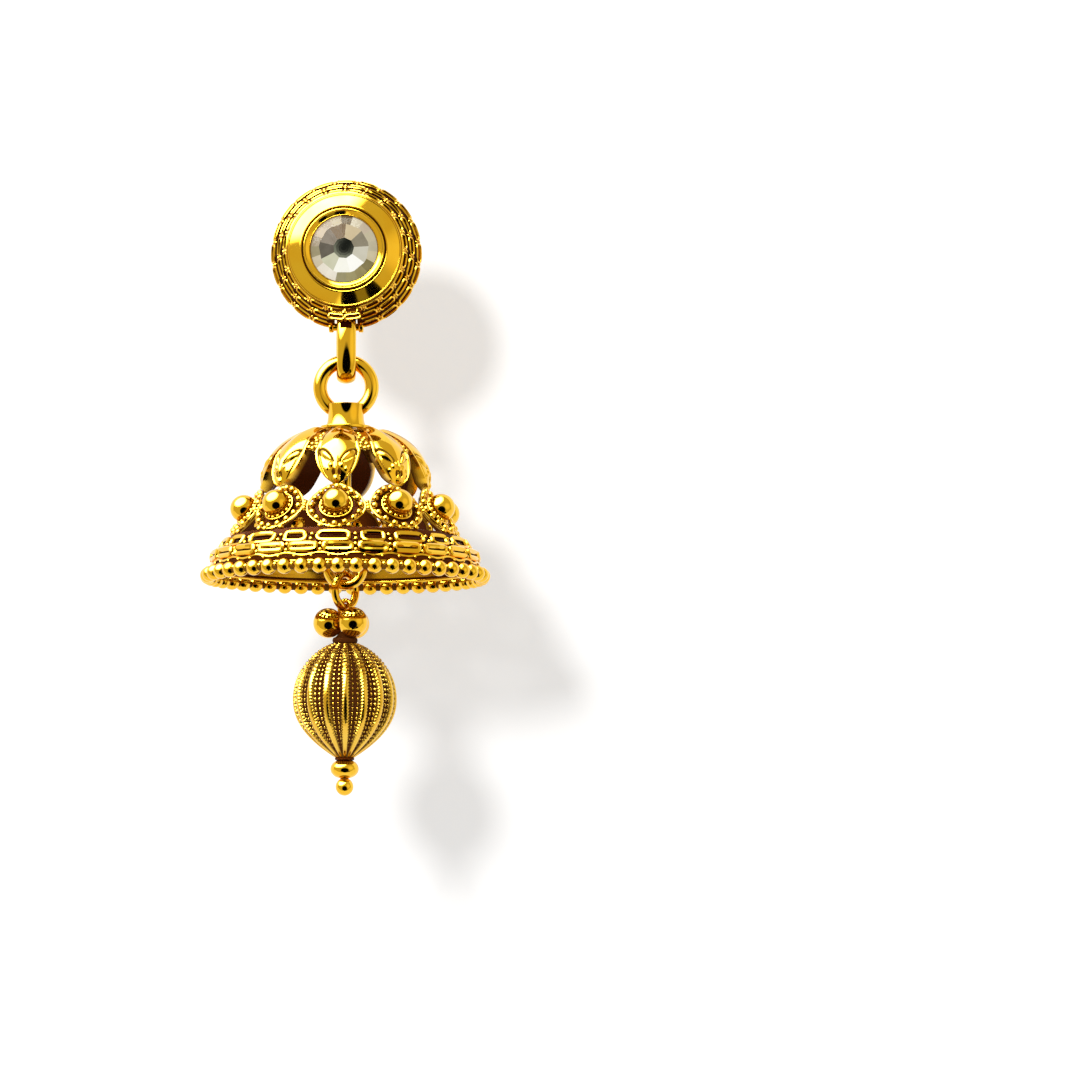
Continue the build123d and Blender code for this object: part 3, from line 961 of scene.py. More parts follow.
@dataclass
class StudCup(Jeweller):
    """Hollow cone of the stud, wrapped in three rows of wire links, with the bar for the link below.

    Corners are radius and height from the back face. An out is a distance off the cone. The first of the
    three rows is at the front, and the slot for the link cuts the other two.
    """

    spread: int = 150
    front_r: float = 5.25
    back_r: float = 6.95
    depth: float = 3.3
    edge: float = 0.35
    inset: float = 0.28
    wall: float = 0.3
    plate: float = 0.5
    notch_half: float = 1.04
    notch_depth: float = 2.6
    notch_r: float = 4.6
    rim_r: float = 6.74
    rim_chamfer: float = 0.15
    plate_groove: Corners = ((3.35, 0.0), (3.45, 0.1), (3.55, 0.0))
    front_round: float = 0.08
    cone_round: float = 0.05
    rim_round: float = 0.12
    plate_round: float = 0.02
    rim_shade: float = 0.05
    rows: tuple[float, ...] = (0.5, 1.6, 2.74)
    links: tuple[int, ...] = (20, 18, 19)
    outs: tuple[float, ...] = (-0.1, -0.06, -0.02)
    lean: float = 0.12
    half_high: float = 0.37
    link_power: float = 5.0
    link_points: int = 24
    link_gap: float = 0.3
    notch_gap: float = 0.12
    wire: float = 0.1
    hoop_in: Pair = (0.05, 0.08)
    hoop_sides: int = 8
    knot: float = 0.14
    knot_out: float = -0.1
    knot_share: float = 0.62
    tie_half: float = 0.25
    tie_out: float = -0.14
    tie_wire: float = 0.085
    tie_sides: int = 6
    apron: Corners = ((4.9, 2.64), (5.98, 2.68), (6.36, 3.02), (6.36, 3.14), (5.98, 3.1), (4.9, 3.05))
    apron_round: float = 0.05
    apron_half: float = 0.26
    apron_steps: int = 11
    shelf: Corners = ((5.2, 3.12), (6.5, 3.2))
    shelf_links: tuple[Triple, ...] = ((0.28, 0.56, 0.112), (0.86, 0.68, 0.122))  # along, half width, turn
    shelf_half_high: float = 0.2
    shelf_points: int = 22
    shelf_out: float = 0.02
    shelf_wire: float = 0.09
    bar_z: float = -6.6
    bar_r: float = 0.35
    bar_over: float = 0.2
    bar_round: float = 0.12
    bar_segments: int = 32
    ear_r: float = 0.5
    ear: Pair = (1.14, 1.56)

    def slotted(self, outline: np.ndarray, shade_and_patina: float = 0.0) -> Shape:
        """Turns a closed outline about the stud's axis, leaving out a slot of constant width at the bottom:
        at each radius the turn starts at the angle whose sine is half the slot's width over the radius.

        Args:
            outline: Radius and height of each point.
            shade_and_patina: Depth value.

        Returns:
            The closed shape.
        """
        start = np.arcsin(self.notch_half / outline[:, 0])
        share = np.linspace(0, 1, self.spread)[:, None]
        angle = start + share * (FULL_TURN - 2 * start)
        return lofted(STUD_AXIS.place(outline[:, 0], angle, outline[:, 1]), False, None, shade_and_patina)

    def cone_r(self, height: float, out: float) -> float:
        """Radius of the cone at a height, at a distance off it measured level."""
        share = (self.depth - height) / (self.depth - self.edge)
        return self.front_r + share * (self.back_r - self.front_r) + out

    def make(self) -> None:
        """Builds the cup's wall, its links, and the ears and bar."""
        self.piece("cup_wall", self.walls(), "stud", "stud_cup", even=True)
        self.piece("cup_links", self.chain(), "stud")
        self.piece("link_bar", self.bar(), "stud")
        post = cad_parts["ear_post"]
        post.data.materials.clear()
        post.data.materials.append(self.finishes.gold)

    def walls(self) -> Shape:
        """Cone in two lengths, of which the slot cuts the hinder one, with the rim and the back plate, all
        turned about the stud's axis. The cone, behind the links, is painted fully dark as shade, and the rim
        a little.

        Returns:
            The closed shape.
        """
        outer, inner = -self.inset, -self.inset - self.wall
        top, cut, low = self.depth, self.notch_depth, self.plate
        front = [(top, inner), (top, outer), (cut, outer), (cut, inner)]
        back = [(cut, outer), (low, outer), (low, inner), (cut, inner)]
        front, back = ([(self.cone_r(height, out), height) for height, out in wall] for wall in (front, back))
        rim = [
            (self.notch_r, 0), (self.rim_r, 0), (self.rim_r, self.edge),
            (self.rim_r - self.rim_chamfer, self.plate), (self.notch_r, self.plate),
        ]
        disc = [(0, 0), *self.plate_groove, (self.notch_r, 0), (self.notch_r, self.plate), (0, self.plate)]
        # painted shade: full on the cone behind the links, a little on the rim
        return joined(
            STUD_AXIS.turned(rounded(front, self.front_round), self.spread, True, 1.0),
            self.slotted(rounded(back, self.cone_round), 1.0),
            self.slotted(rounded(rim, self.rim_round), self.rim_shade),
            STUD_AXIS.turned(rounded(disc, self.plate_round, False), self.spread, False),
        )

    def chain(self) -> Shape:
        """Rows of oblong wire links laid round the cone, with two knots and a short tie between neighbours,
        and under the front of the slot an apron, painted dark as shade, with four small links.

        Returns:
            The closed shape.
        """
        slope = Slope(STUD_AXIS, np.array([(self.front_r, self.depth), (self.back_r, self.edge)]))
        inwards, down = self.hoop_in
        shapes = [
            STUD_AXIS.hoop(self.front_r - inwards, self.wire, self.depth - down, self.spread, self.hoop_sides)
        ]
        for number, (along, links) in enumerate(zip(self.rows, self.links)):
            radius = slope.radius(along)
            notch = 0.0 if number == 0 else (self.notch_half + self.notch_gap) / radius
            pitch = (FULL_TURN - 2 * notch) / links
            angles = notch + pitch * (np.arange(links) + 0.5)
            half_wide = pitch * radius / 2 - self.link_gap / 2 - self.wire / 2
            outline = even_outline(half_wide, self.half_high, self.link_power, self.link_points)
            shapes.append(slope.frames(along, angles, outline, self.outs[number], self.wire, self.lean))
            between = angles[: links if number == 0 else -1] + pitch / 2
            for lift in (-self.knot_share, self.knot_share):
                at = np.full(len(between), along + lift * self.half_high)
                shapes.append(balls(slope.lay(at, between, self.knot_out), self.knot, *SMALL_BALL))
            steps = np.array([-self.tie_half, 0.0, self.tie_half])
            ties = slope.lay(along + steps, between[:, None] + np.zeros(3), self.tie_out)
            outward = ties - ties.mean(axis=1, keepdims=True) + (0.0, -1.0, 0.0)
            shapes.append(tube(ties, outward, self.tie_wire, self.tie_sides, False))
        apron = rounded(self.apron, self.apron_round)
        # painted shade: the apron under the front of the slot is fully darkened
        shapes.append(STUD_AXIS.swept(apron, -self.apron_half, self.apron_half, self.apron_steps, 1.0))
        shelf = Slope(STUD_AXIS, np.array(self.shelf))
        for along, half_wide, turn in self.shelf_links:
            small = even_outline(half_wide, self.shelf_half_high, self.link_power, self.shelf_points)
            turns = np.array([-turn, turn])
            shapes.append(shelf.frames(along, turns, small, self.shelf_out, self.shelf_wire))
        return joined(*shapes)

    def bar(self) -> Shape:
        """Bar across the slot, between two rounded ears, all turned about the bar's own axis.

        Returns:
            The closed shape.
        """
        spindle = Spindle((0, HANG_Y, self.bar_z), (0, 1, 0), (0, 0, 1), (1, 0, 0))
        near, far = self.ear
        end = near + self.bar_over
        spans = [(self.bar_r, -end, end), (self.ear_r, -near, -far), (self.ear_r, near, far)]
        outlines = [[(0, start), (radius, start), (radius, stop), (0, stop)] for radius, start, stop in spans]
        outlines = [rounded(outline, self.bar_round, False) for outline in outlines]
        return joined(*(spindle.turned(outline, self.bar_segments, False) for outline in outlines))


@dataclass
class HangingLink(Jeweller):
    """Oval link of flattened wire between the stud and the bell, edge-on to the front."""

    half_wide: float = 0.86
    half_thick: float = 0.52
    depth: float = 1.42
    power: float = 2.4
    turn: float = 5.0
    steps: int = 120
    sides: int = 28

    def make(self) -> None:
        """Builds the link along an oval, which is a superellipse in an upright plane."""
        box = Extent.of("hanging_link")
        high = float(box.size[2]) / 2 - self.half_thick
        oval = even_outline(self.depth, high, self.power, self.steps)
        lean = math.radians(self.turn)
        forward = np.array([math.sin(lean), -math.cos(lean), 0])
        across = np.array([math.cos(lean), math.sin(lean), 0])
        middle = np.array([0, HANG_Y, box.middle[2]])
        path = middle + oval[:, :1] * forward + oval[:, 1:] * np.array([0, 0, 1])
        wire = tube(path[None], across, self.half_wide, self.sides, flat=self.half_thick / self.half_wide)
        self.piece("oval_link", wire, "link", "hanging_link")


@dataclass
class BellHanger(Jeweller):
    """Ring on top of the bell, the waisted collar below it, and the rod with its eye inside the bell."""

    ring_r: float = 2.34
    ring_wire: float = 0.63
    ring_detail: Detail = (128, 40)
    ring_z: float = -12.06
    collar_top: float = -13.6
    collar_low: float = -15.85
    collar_r: Pair = (1.72, 1.86)
    collar_round: float = 0.14
    collar_steps: int = 15
    collar_segments: int = 128
    waist: float = 0.72
    rod_r: float = 0.5
    eye_r: float = 1.15
    eye_wire: float = 0.35
    eye_detail: Detail = (48, 16)
    eye_z: float = -26.75

    def make(self) -> None:
        """Builds the hanger as one piece. With t from 0 at the collar's top to 1 at its foot, its radius goes
        evenly from the one to the other, less waist times t (1 - t)."""
        ring = Spindle((0, HANG_Y, self.ring_z), (1, 0, 0), (0, 0, 1), (0, -1, 0))
        eye = Spindle((0, HANG_Y, self.eye_z), (0, 1, 0), (0, 0, 1), (1, 0, 0))
        t = np.linspace(0, 1, self.collar_steps)
        top_r, foot_r = self.collar_r
        radius = top_r + (foot_r - top_r) * t - self.waist * t * (1 - t)
        side = zip(radius, self.collar_top + (self.collar_low - self.collar_top) * t)
        rod_end = self.eye_z + self.eye_r
        rod = [(self.rod_r, self.collar_low), (self.rod_r, rod_end), (0, rod_end)]
        outline = rounded([(0, self.collar_top), *side, *rod], self.collar_round, False)
        shape = joined(
            ring.hoop(self.ring_r, self.ring_wire, 0, *self.ring_detail),
            HANG_AXIS.turned(outline, self.collar_segments, False),
            eye.hoop(self.eye_r, self.eye_wire, 0, *self.eye_detail),
        )
        self.piece("ring_and_collar", shape, "bell", "bell_hanger", even=True)


@dataclass(frozen=True)
class PetalRelief:
    """Embossing of one petal.

    An x is a distance across from the petal's middle line and an s one up from its tip. A fade is the start
    and the end of a smooth step, deep and high are heights, and the values that darken are painted shade.
    """

    lift: float = 0.1
    crease_high: float = 0.2
    crown_high: float = 0.2
    crown_fade: Pair = (0.0, 1.6)
    collar_fade: Pair = (0.0, 1.5)
    lip_high: float = 0.08
    lip_fade: Pair = (0.84, 0.93)
    flare_high: float = 0.2
    flare_fade: Pair = (2.2, 0.0)
    side_share: float = 0.82
    side_wide: float = 0.05
    side_fade: Pair = (0.3, 1.0)
    side_end_fade: Pair = (3.9, 3.2)
    side_deep: float = 0.09
    side_shade: float = 0.5
    leaf_at: Pair = (0.98, 2.55)
    leaf_half: Pair = (0.9, 0.33)
    leaf_lean: float = 46.0
    leaf_taper: float = 0.35
    leaf_fade: Pair = (0.95, 0.1)
    leaf_high: float = 0.14
    ring_wide: float = 0.15
    ring_least: float = 0.35
    ring_fade: Pair = (0.08, -0.12)
    ring_deep: float = 0.2
    ring_shade: float = 1.1
    bumps: tuple[Triple, ...] = (  # x, s and radius
        (-0.5, 1.62, 0.27), (0.5, 1.62, 0.27), (-0.86, 1.3, 0.2), (0.86, 1.3, 0.2), (0.0, 0.42, 0.36),
    )
    bump_fade: Pair = (1.0, 0.2)
    bump_high: float = 0.5
    pit_at: Pair = (0.24, 1.02)
    pit_half: Pair = (0.13, 0.27)
    pit_fade: Pair = (1.15, 0.75)
    pit_deep: float = 0.2
    vein_wide: float = 0.07
    vein_fade: Pair = (2.5, 2.1)
    vein_tip_fade: Pair = (0.5, 0.8)
    vein_high: float = 0.07
    hollow_long: float = 1.6
    hollow_slant: float = 0.5
    hollow_fade: Pair = (0.05, -0.08)
    hollow_end_fade: Pair = (0.1, 0.3)
    hollow_deep: float = 0.16
    hollow_shade: float = 0.35

    def leaf(self, x: np.ndarray, s: np.ndarray) -> tuple[np.ndarray, np.ndarray]:
        """Leaf at each side: reach is 1 on an ellipse that leans and widens upwards. The groove round it is a
        bell curve of reach less 1, deepest on the leaf's upper side, and its belly rises inside the ellipse.
        The groove's strength also sets a painted shadow line, darkest on the upper side.

        Args:
            x: Distances across.
            s: Distances from the tip.

        Returns:
            Strength of the groove and of the belly, 0 to 1.
        """
        lean = math.radians(self.leaf_lean)
        over, along = np.abs(x) - self.leaf_at[0], s - self.leaf_at[1]
        long_way = over * math.sin(lean) + along * math.cos(lean)
        short_way = over * math.cos(lean) - along * math.sin(lean)
        taper = 1 + self.leaf_taper * long_way / self.leaf_half[0]
        reach = np.hypot(long_way / self.leaf_half[0], short_way / (self.leaf_half[1] * taper))
        upper = self.ring_least + (1 - self.ring_least) * smooth_step(short_way, *self.ring_fade)
        return np.exp(-(((reach - 1) / self.ring_wide) ** 2)) * upper, smooth_step(reach, *self.leaf_fade)

    def marks(self, x: np.ndarray, s: np.ndarray, down: np.ndarray) -> tuple[np.ndarray, ...]:
        """Small marks: round bumps, two oval pits, a vein whose section is a bell curve, and next to the
        collar a hollow with three sides.

        Args:
            x: Distances across.
            s: Distances from the tip.
            down: Distances from the collar.

        Returns:
            Heights of the bumps, and strengths of the pits, the vein and the hollow.
        """
        bump_x, bump_s, bump_r = np.array(self.bumps).T
        spot = np.hypot(x[..., None] - bump_x, s[..., None] - bump_s) / bump_r
        bumps = (self.bump_high * bump_r * smooth_step(spot, *self.bump_fade)).sum(-1)
        pit_x, pit_s = self.pit_at
        pit = np.hypot((np.abs(x) - pit_x) / self.pit_half[0], (s - pit_s) / self.pit_half[1])
        vein = np.exp(-((x / self.vein_wide) ** 2)) * smooth_step(s, *self.vein_fade)
        vein = vein * smooth_step(s, *self.vein_tip_fade)
        hollow = smooth_step(np.abs(x) - self.hollow_slant * (self.hollow_long - down), *self.hollow_fade)
        hollow = hollow * smooth_step(down, *self.hollow_end_fade)
        return bumps, smooth_step(pit, *self.pit_fade), vein, hollow

    def face(self, x: np.ndarray, share: np.ndarray, s: np.ndarray, down: np.ndarray) -> tuple:
        """Height and painted shade of a petal's face. With u the share, the face is a crown with a crease,
        crease (1 - |u|) + crown (1 - u^2), flared at the tip, with a raised lip at its edge and a groove
        inside the lip; leaves and marks stand on it. Its grooves, pits and hollow are painted dark as shade.

        Args:
            x: Distances across.
            share: The same as a share of the half width, from -1 to 1.
            s: Distances from the tip.
            down: Distances from the collar.

        Returns:
            The heights and the values of painted shade.
        """
        crown = self.crease_high * (1 - np.abs(share)) + self.crown_high * (1 - share**2)
        crown = crown * smooth_step(s, *self.crown_fade) * smooth_step(down, *self.collar_fade)
        lip = self.lip_high * smooth_step(np.abs(share), *self.lip_fade)
        side = np.exp(-(((np.abs(share) - self.side_share) / self.side_wide) ** 2))
        side = side * smooth_step(s, *self.side_fade) * smooth_step(s, *self.side_end_fade)
        ring, belly = self.leaf(x, s)
        bumps, pits, vein, hollow = self.marks(x, s, down)
        flare = self.flare_high * smooth_step(s, *self.flare_fade)
        height = self.lift + flare + crown + lip - self.side_deep * side - self.ring_deep * ring
        height = height + self.leaf_high * belly + self.vein_high * vein
        height = height + bumps - self.pit_deep * pits - self.hollow_deep * hollow
        # painted shade: darker in the leaves' grooves, the pits, the hollow and the groove inside the lip
        depth = self.ring_shade * ring + pits + self.hollow_shade * hollow + self.side_shade * side
        return height, np.clip(depth, 0, 1)


@dataclass
class PetalDome(Jeweller):
    """Eight embossed petals that lean together under the collar and stand free at their tips.

    A fade is the start and the end of a smooth step, and a z is a height.
    """

    relief: PetalRelief = PetalRelief()
    petals: int = 8
    front: float = -2.6
    foot_r: float = 7.2
    high: float = 5.35
    middle_z: float = -21.3
    power: float = 2.3
    line_end: float = -0.3
    line_points: int = 400
    seat_r: float = 1.95
    tip_z: float = -21.6
    widest_z: float = -18.3
    widest: float = 2.02
    tip_half: float = 0.32
    tip_power: float = 0.66
    gap: Pair = (0.45, 0.1)
    gap_fade: Pair = (4.0, 6.4)
    rows: int = 124
    across: int = 76
    inside: int = 12
    inside_share: float = 0.95
    thick: float = 0.95
    thick_fade: Pair = (-0.2, 1.2)
    tip_fade: Pair = (-0.9, 0.9)
    back_lift: float = 0.12
    web_start: float = 0.02
    web_z: float = -18.1
    web_out: Pair = (-0.1, -0.4)
    web_shade: Pair = (0.2, 0.95)
    web_segments: int = 120
    gap_bumps: Corners = (  # distance up from the web's edge, and degrees from the gap's middle
        (0.05, -3.6), (-0.08, 0), (0.05, 3.6), (0.55, -2.4), (0.5, 2.6), (1.0, 0.2), (1.45, -2.8), (1.4, 3.0),
        (1.95, 0), (2.5, 0),
    )
    bump_r: float = 0.22
    bump_less: float = 0.02
    bump_shade: float = 0.1
    seat: Corners = ((1.4, -15.62), (2.3, -15.62), (2.3, -15.9), (1.4, -15.9))
    seat_round: float = 0.05
    seat_segments: int = 64

    @property
    def centres(self) -> np.ndarray:
        """Angles of the petals."""
        return spaced(self.petals, self.front)

    def slope(self) -> Slope:
        """Dome's line: a quarter of a superellipse, from the collar down to just past its widest place.

        Returns:
            The line, turned about the bell's axis.
        """
        turn = np.linspace(math.pi / 2, self.line_end, self.line_points)
        share = 2 / self.power
        radius = self.foot_r * np.abs(np.cos(turn)) ** share
        height = self.middle_z + self.high * np.sign(np.sin(turn)) * np.abs(np.sin(turn)) ** share
        kept = (radius >= self.seat_r) & (height >= self.tip_z)
        return Slope(HANG_AXIS, np.stack([radius[kept], height[kept]], 1))

    def half_width(self, radius: np.ndarray, height: np.ndarray) -> np.ndarray:
        """Half width of a petal: half its share of the circle less a gap, up to the widest, and below the
        widest place times (1 - f^2)^p, where f goes from 0 there to 1 at the tip.

        Args:
            radius: Radius of each point down the petal.
            height: Height of each.

        Returns:
            The half widths.
        """
        pitch = FULL_TURN * radius / self.petals
        top_gap, more = self.gap
        half = np.minimum(0.5 * pitch - top_gap - more * smooth_step(radius, *self.gap_fade), self.widest)
        fall = np.clip((self.widest_z - height) / (self.widest_z - self.tip_z), 0, 1)
        return np.maximum(half * (1 - fall**2) ** self.tip_power, self.tip_half)

    def make(self) -> None:
        """Builds the petals, each a loop of face and back carried down the dome's line, and their web."""
        slope = self.slope()
        run = slope.run
        down = np.linspace(0, run[-1], self.rows)
        radius = slope.radius(down)
        half = self.half_width(radius, np.interp(down, run, slope.line[:, 1]))
        face = np.linspace(-1, 1, self.across)
        share = np.concatenate([face, np.linspace(self.inside_share, -self.inside_share, self.inside)])
        outer = np.arange(len(share)) < self.across
        x = half[:, None] * share
        down = down[:, None]
        above = np.broadcast_to(down, x.shape)
        lift, depth = self.relief.face(x, np.broadcast_to(share, x.shape), run[-1] - above, above)
        back = -self.thick * smooth_step(down, *self.thick_fade) * smooth_step(run[-1] - down, *self.tip_fade)
        angle = self.centres[:, None, None] + x / radius[:, None]
        loops = slope.lay(down, angle, np.where(outer, lift, back + self.back_lift))
        # painted shade: the petals' backs, inside the bell, are fully darkened
        petals = lofted(loops, False, None, np.where(outer, depth, 1.0))
        self.piece("dome_petals", petals, "bell", "petal_dome")
        self.piece("petal_web", self.web(slope), "bell")

    def web(self, slope: Slope) -> Shape:
        """Band under the petals, painted dark as shade, most on its inside, with small bumps in each gap
        between petals and three at its edge; the bumps carry a little painted shade.

        Args:
            slope: The dome's line.

        Returns:
            The closed shape.
        """
        foot = float(np.interp(-self.web_z, -slope.line[:, 1], slope.run))
        gaps = self.centres + math.pi / self.petals
        up, turn = np.array(self.gap_bumps).T
        top, low = self.web_out
        places = slope.lay(foot - up, gaps[:, None] + np.radians(turn), top).reshape(-1, 3)
        size = np.tile(self.bump_r - self.bump_less * up, self.petals)
        # painted shade on the web band, most on its inside, and a little on the bumps
        return joined(
            slope.band(self.web_start, foot, top, low, self.web_segments, self.web_shade),
            balls(places, size, *SMALL_BALL, self.bump_shade),
            HANG_AXIS.turned(rounded(self.seat, self.seat_round), self.seat_segments),
        )


@dataclass
class BeadLattice(Jeweller):
    """Ring of granule frames around big round beads, between the petals' tips and the skirt.

    An out is a distance off the slope, an along one down it, and a half its half width and half height.
    """

    line: Corners = ((7.62, -21.65), (10.4, -25.8))
    frames: int = 10
    front: float = -1.8
    frame_along: float = 2.42
    frame_half: Pair = (2.2, 2.12)
    frame_power: float = 1.8
    frame_granules: int = 16
    granule: float = 0.31
    granule_out: float = 0.08
    edge_half: Pair = (2.62, 2.4)
    edge_power: float = 1.65
    edge_points: int = 60
    edge_wire: float = 0.11
    edge_out: float = 0.05
    inner_share: float = 0.86
    inner_wire: float = 0.2
    inner_out: float = -0.24
    inner_shade: float = 0.6
    plate_shares: tuple[float, ...] = (0.08, 0.5, 0.9, 0.9, 0.5, 0.08)
    plate_outs: tuple[float, ...] = (-0.3, -0.3, -0.3, -0.5, -0.5, -0.5)
    small_granule: float = 0.2
    joint_half: float = 0.32
    joint_out: float = 0.12
    feet: Corners = ((4.62, -7.2), (4.72, -2.6), (4.72, 2.6), (4.62, 7.2))  # along, degrees
    foot_out: float = -0.06
    foot_share: float = 0.85
    hoop: Corners = ((9.95, -25.6), (10.3, -25.68), (10.62, -26.3), (10.1, -26.3))
    hoop_round: float = 0.08
    hoop_segments: int = 192
    strut_ends: Pair = (0.2, 1.4)
    strut_wire: float = 0.2
    strut_out: float = -0.1
    strut_shade: float = 0.2
    strut_steps: int = 5
    knob_r: float = 1.24
    knob_detail: Detail = (23, 40)
    knob_along: float = 2.32
    knob_out: float = 0.48
    collar_granules: int = 16
    collar_r: float = 1.2
    collar_out: float = 0.06
    seat_r: float = 1.42
    seat_wire: float = 0.1
    seat_out: float = 0.02
    seat_detail: Detail = (32, 10)

    def make(self) -> None:
        """Builds the frames and the beads."""
        self.piece("granule_frames", self.framework(), "bell", "bead_lattice")
        self.piece("lattice_beads", self.beads(), "bell")

    @property
    def slope(self) -> Slope:
        """Straight line of the lattice, turned about the bell's axis."""
        return Slope(HANG_AXIS, np.array(self.line))

    @property
    def centres(self) -> np.ndarray:
        """Angles of the frames, and of the beads in them."""
        return spaced(self.frames, self.front)

    def around(self, outline: np.ndarray, *shares: float) -> tuple[np.ndarray, np.ndarray]:
        """Lays outlines round each frame's middle: angle is the width over the slope's radius there.

        Args:
            outline: Width and height of each point.
            shares: Sizes of the copies, as shares of the outline's.

        Returns:
            Distances down the slope and angles, frames by copies by points.
        """
        share = np.array(shares)[:, None]
        angle = self.centres[:, None, None] + share * outline[:, 0] / self.slope.radius(self.frame_along)
        return np.broadcast_to(self.frame_along - share * outline[:, 1], angle.shape), angle

    def framework(self) -> Shape:
        """Frames of granules on two wires and a back plate painted dark as shade, with granules where
        neighbours meet and at their feet, a strut in each, and the hoop that they stand on. The hoop is
        painted dark as shade too, and the inner wire and the struts in part.

        Returns:
            The closed shape.
        """
        slope, centres = self.slope, self.centres
        beaded = even_outline(*self.frame_half, self.frame_power, self.frame_granules)
        edge = even_outline(*self.edge_half, self.edge_power, self.edge_points)
        granules = slope.lay(*self.around(beaded, 1.0), self.granule_out).reshape(-1, 3)
        along, angle = self.around(edge, 1.0, self.inner_share)
        joint_along = self.frame_along + np.array([-self.joint_half, 0.0, self.joint_half])
        sides = (centres + math.pi / self.frames)[:, None]
        joints = slope.lay(joint_along, sides + 0 * joint_along, self.joint_out).reshape(-1, 3)
        foot_along, foot_turn = np.array(self.feet).T
        feet = slope.lay(foot_along, centres[:, None] + np.radians(foot_turn), self.foot_out).reshape(-1, 3)
        plates = self.around(edge, *self.plate_shares)
        struts = np.linspace(*self.strut_ends, self.strut_steps) + 0 * centres[:, None]
        # painted shade: full on the back plates and the hoop, partial on the inner wire and the struts
        return joined(
            balls(granules, self.granule, *ROUND_BALL),
            slope.wire(along[:, 0], angle[:, 0], self.edge_out, self.edge_wire),
            slope.wire(along[:, 1], angle[:, 1], self.inner_out, self.inner_wire, shade_and_patina=self.inner_shade),
            balls(joints, self.small_granule, *SMALL_BALL),
            HANG_AXIS.turned(rounded(self.hoop, self.hoop_round), self.hoop_segments, True, 1.0),
            balls(feet, self.foot_share * self.granule, *SMALL_BALL),
            slope.wire(
                struts, centres[:, None] + 0 * struts, self.strut_out, self.strut_wire, closed=False,
                shade_and_patina=self.strut_shade,
            ),
            lofted(slope.lay(*plates, np.array(self.plate_outs)[:, None]), False, None, 1.0),
        )

    def beads(self) -> Shape:
        """Big beads, each seated in a ring of small granules and a round wire.

        Returns:
            The closed shape.
        """
        slope, centres = self.slope, self.centres

        def ring(radius: float, count: int) -> tuple[np.ndarray, np.ndarray]:
            """Circles round the beads: the sine of the turn goes across, and its cosine up.

            Args:
                radius: Radius of the circles.
                count: Points on each.

            Returns:
                Distances down the slope and angles, beads by points.
            """
            turn = np.linspace(0, FULL_TURN, count, endpoint=False)
            angle = centres[:, None] + radius * np.sin(turn) / slope.radius(self.knob_along)
            return np.broadcast_to(self.knob_along - radius * np.cos(turn), angle.shape), angle

        middle = slope.lay(np.full(len(centres), self.knob_along), centres, self.knob_out)
        seat_points, seat_sides = self.seat_detail
        granules = slope.lay(*ring(self.collar_r, self.collar_granules), self.collar_out).reshape(-1, 3)
        return joined(
            balls(middle, self.knob_r, *self.knob_detail),
            balls(granules, self.small_granule, *ROUND_BALL),
            slope.wire(*ring(self.seat_r, seat_points), self.seat_out, self.seat_wire, seat_sides),
        )


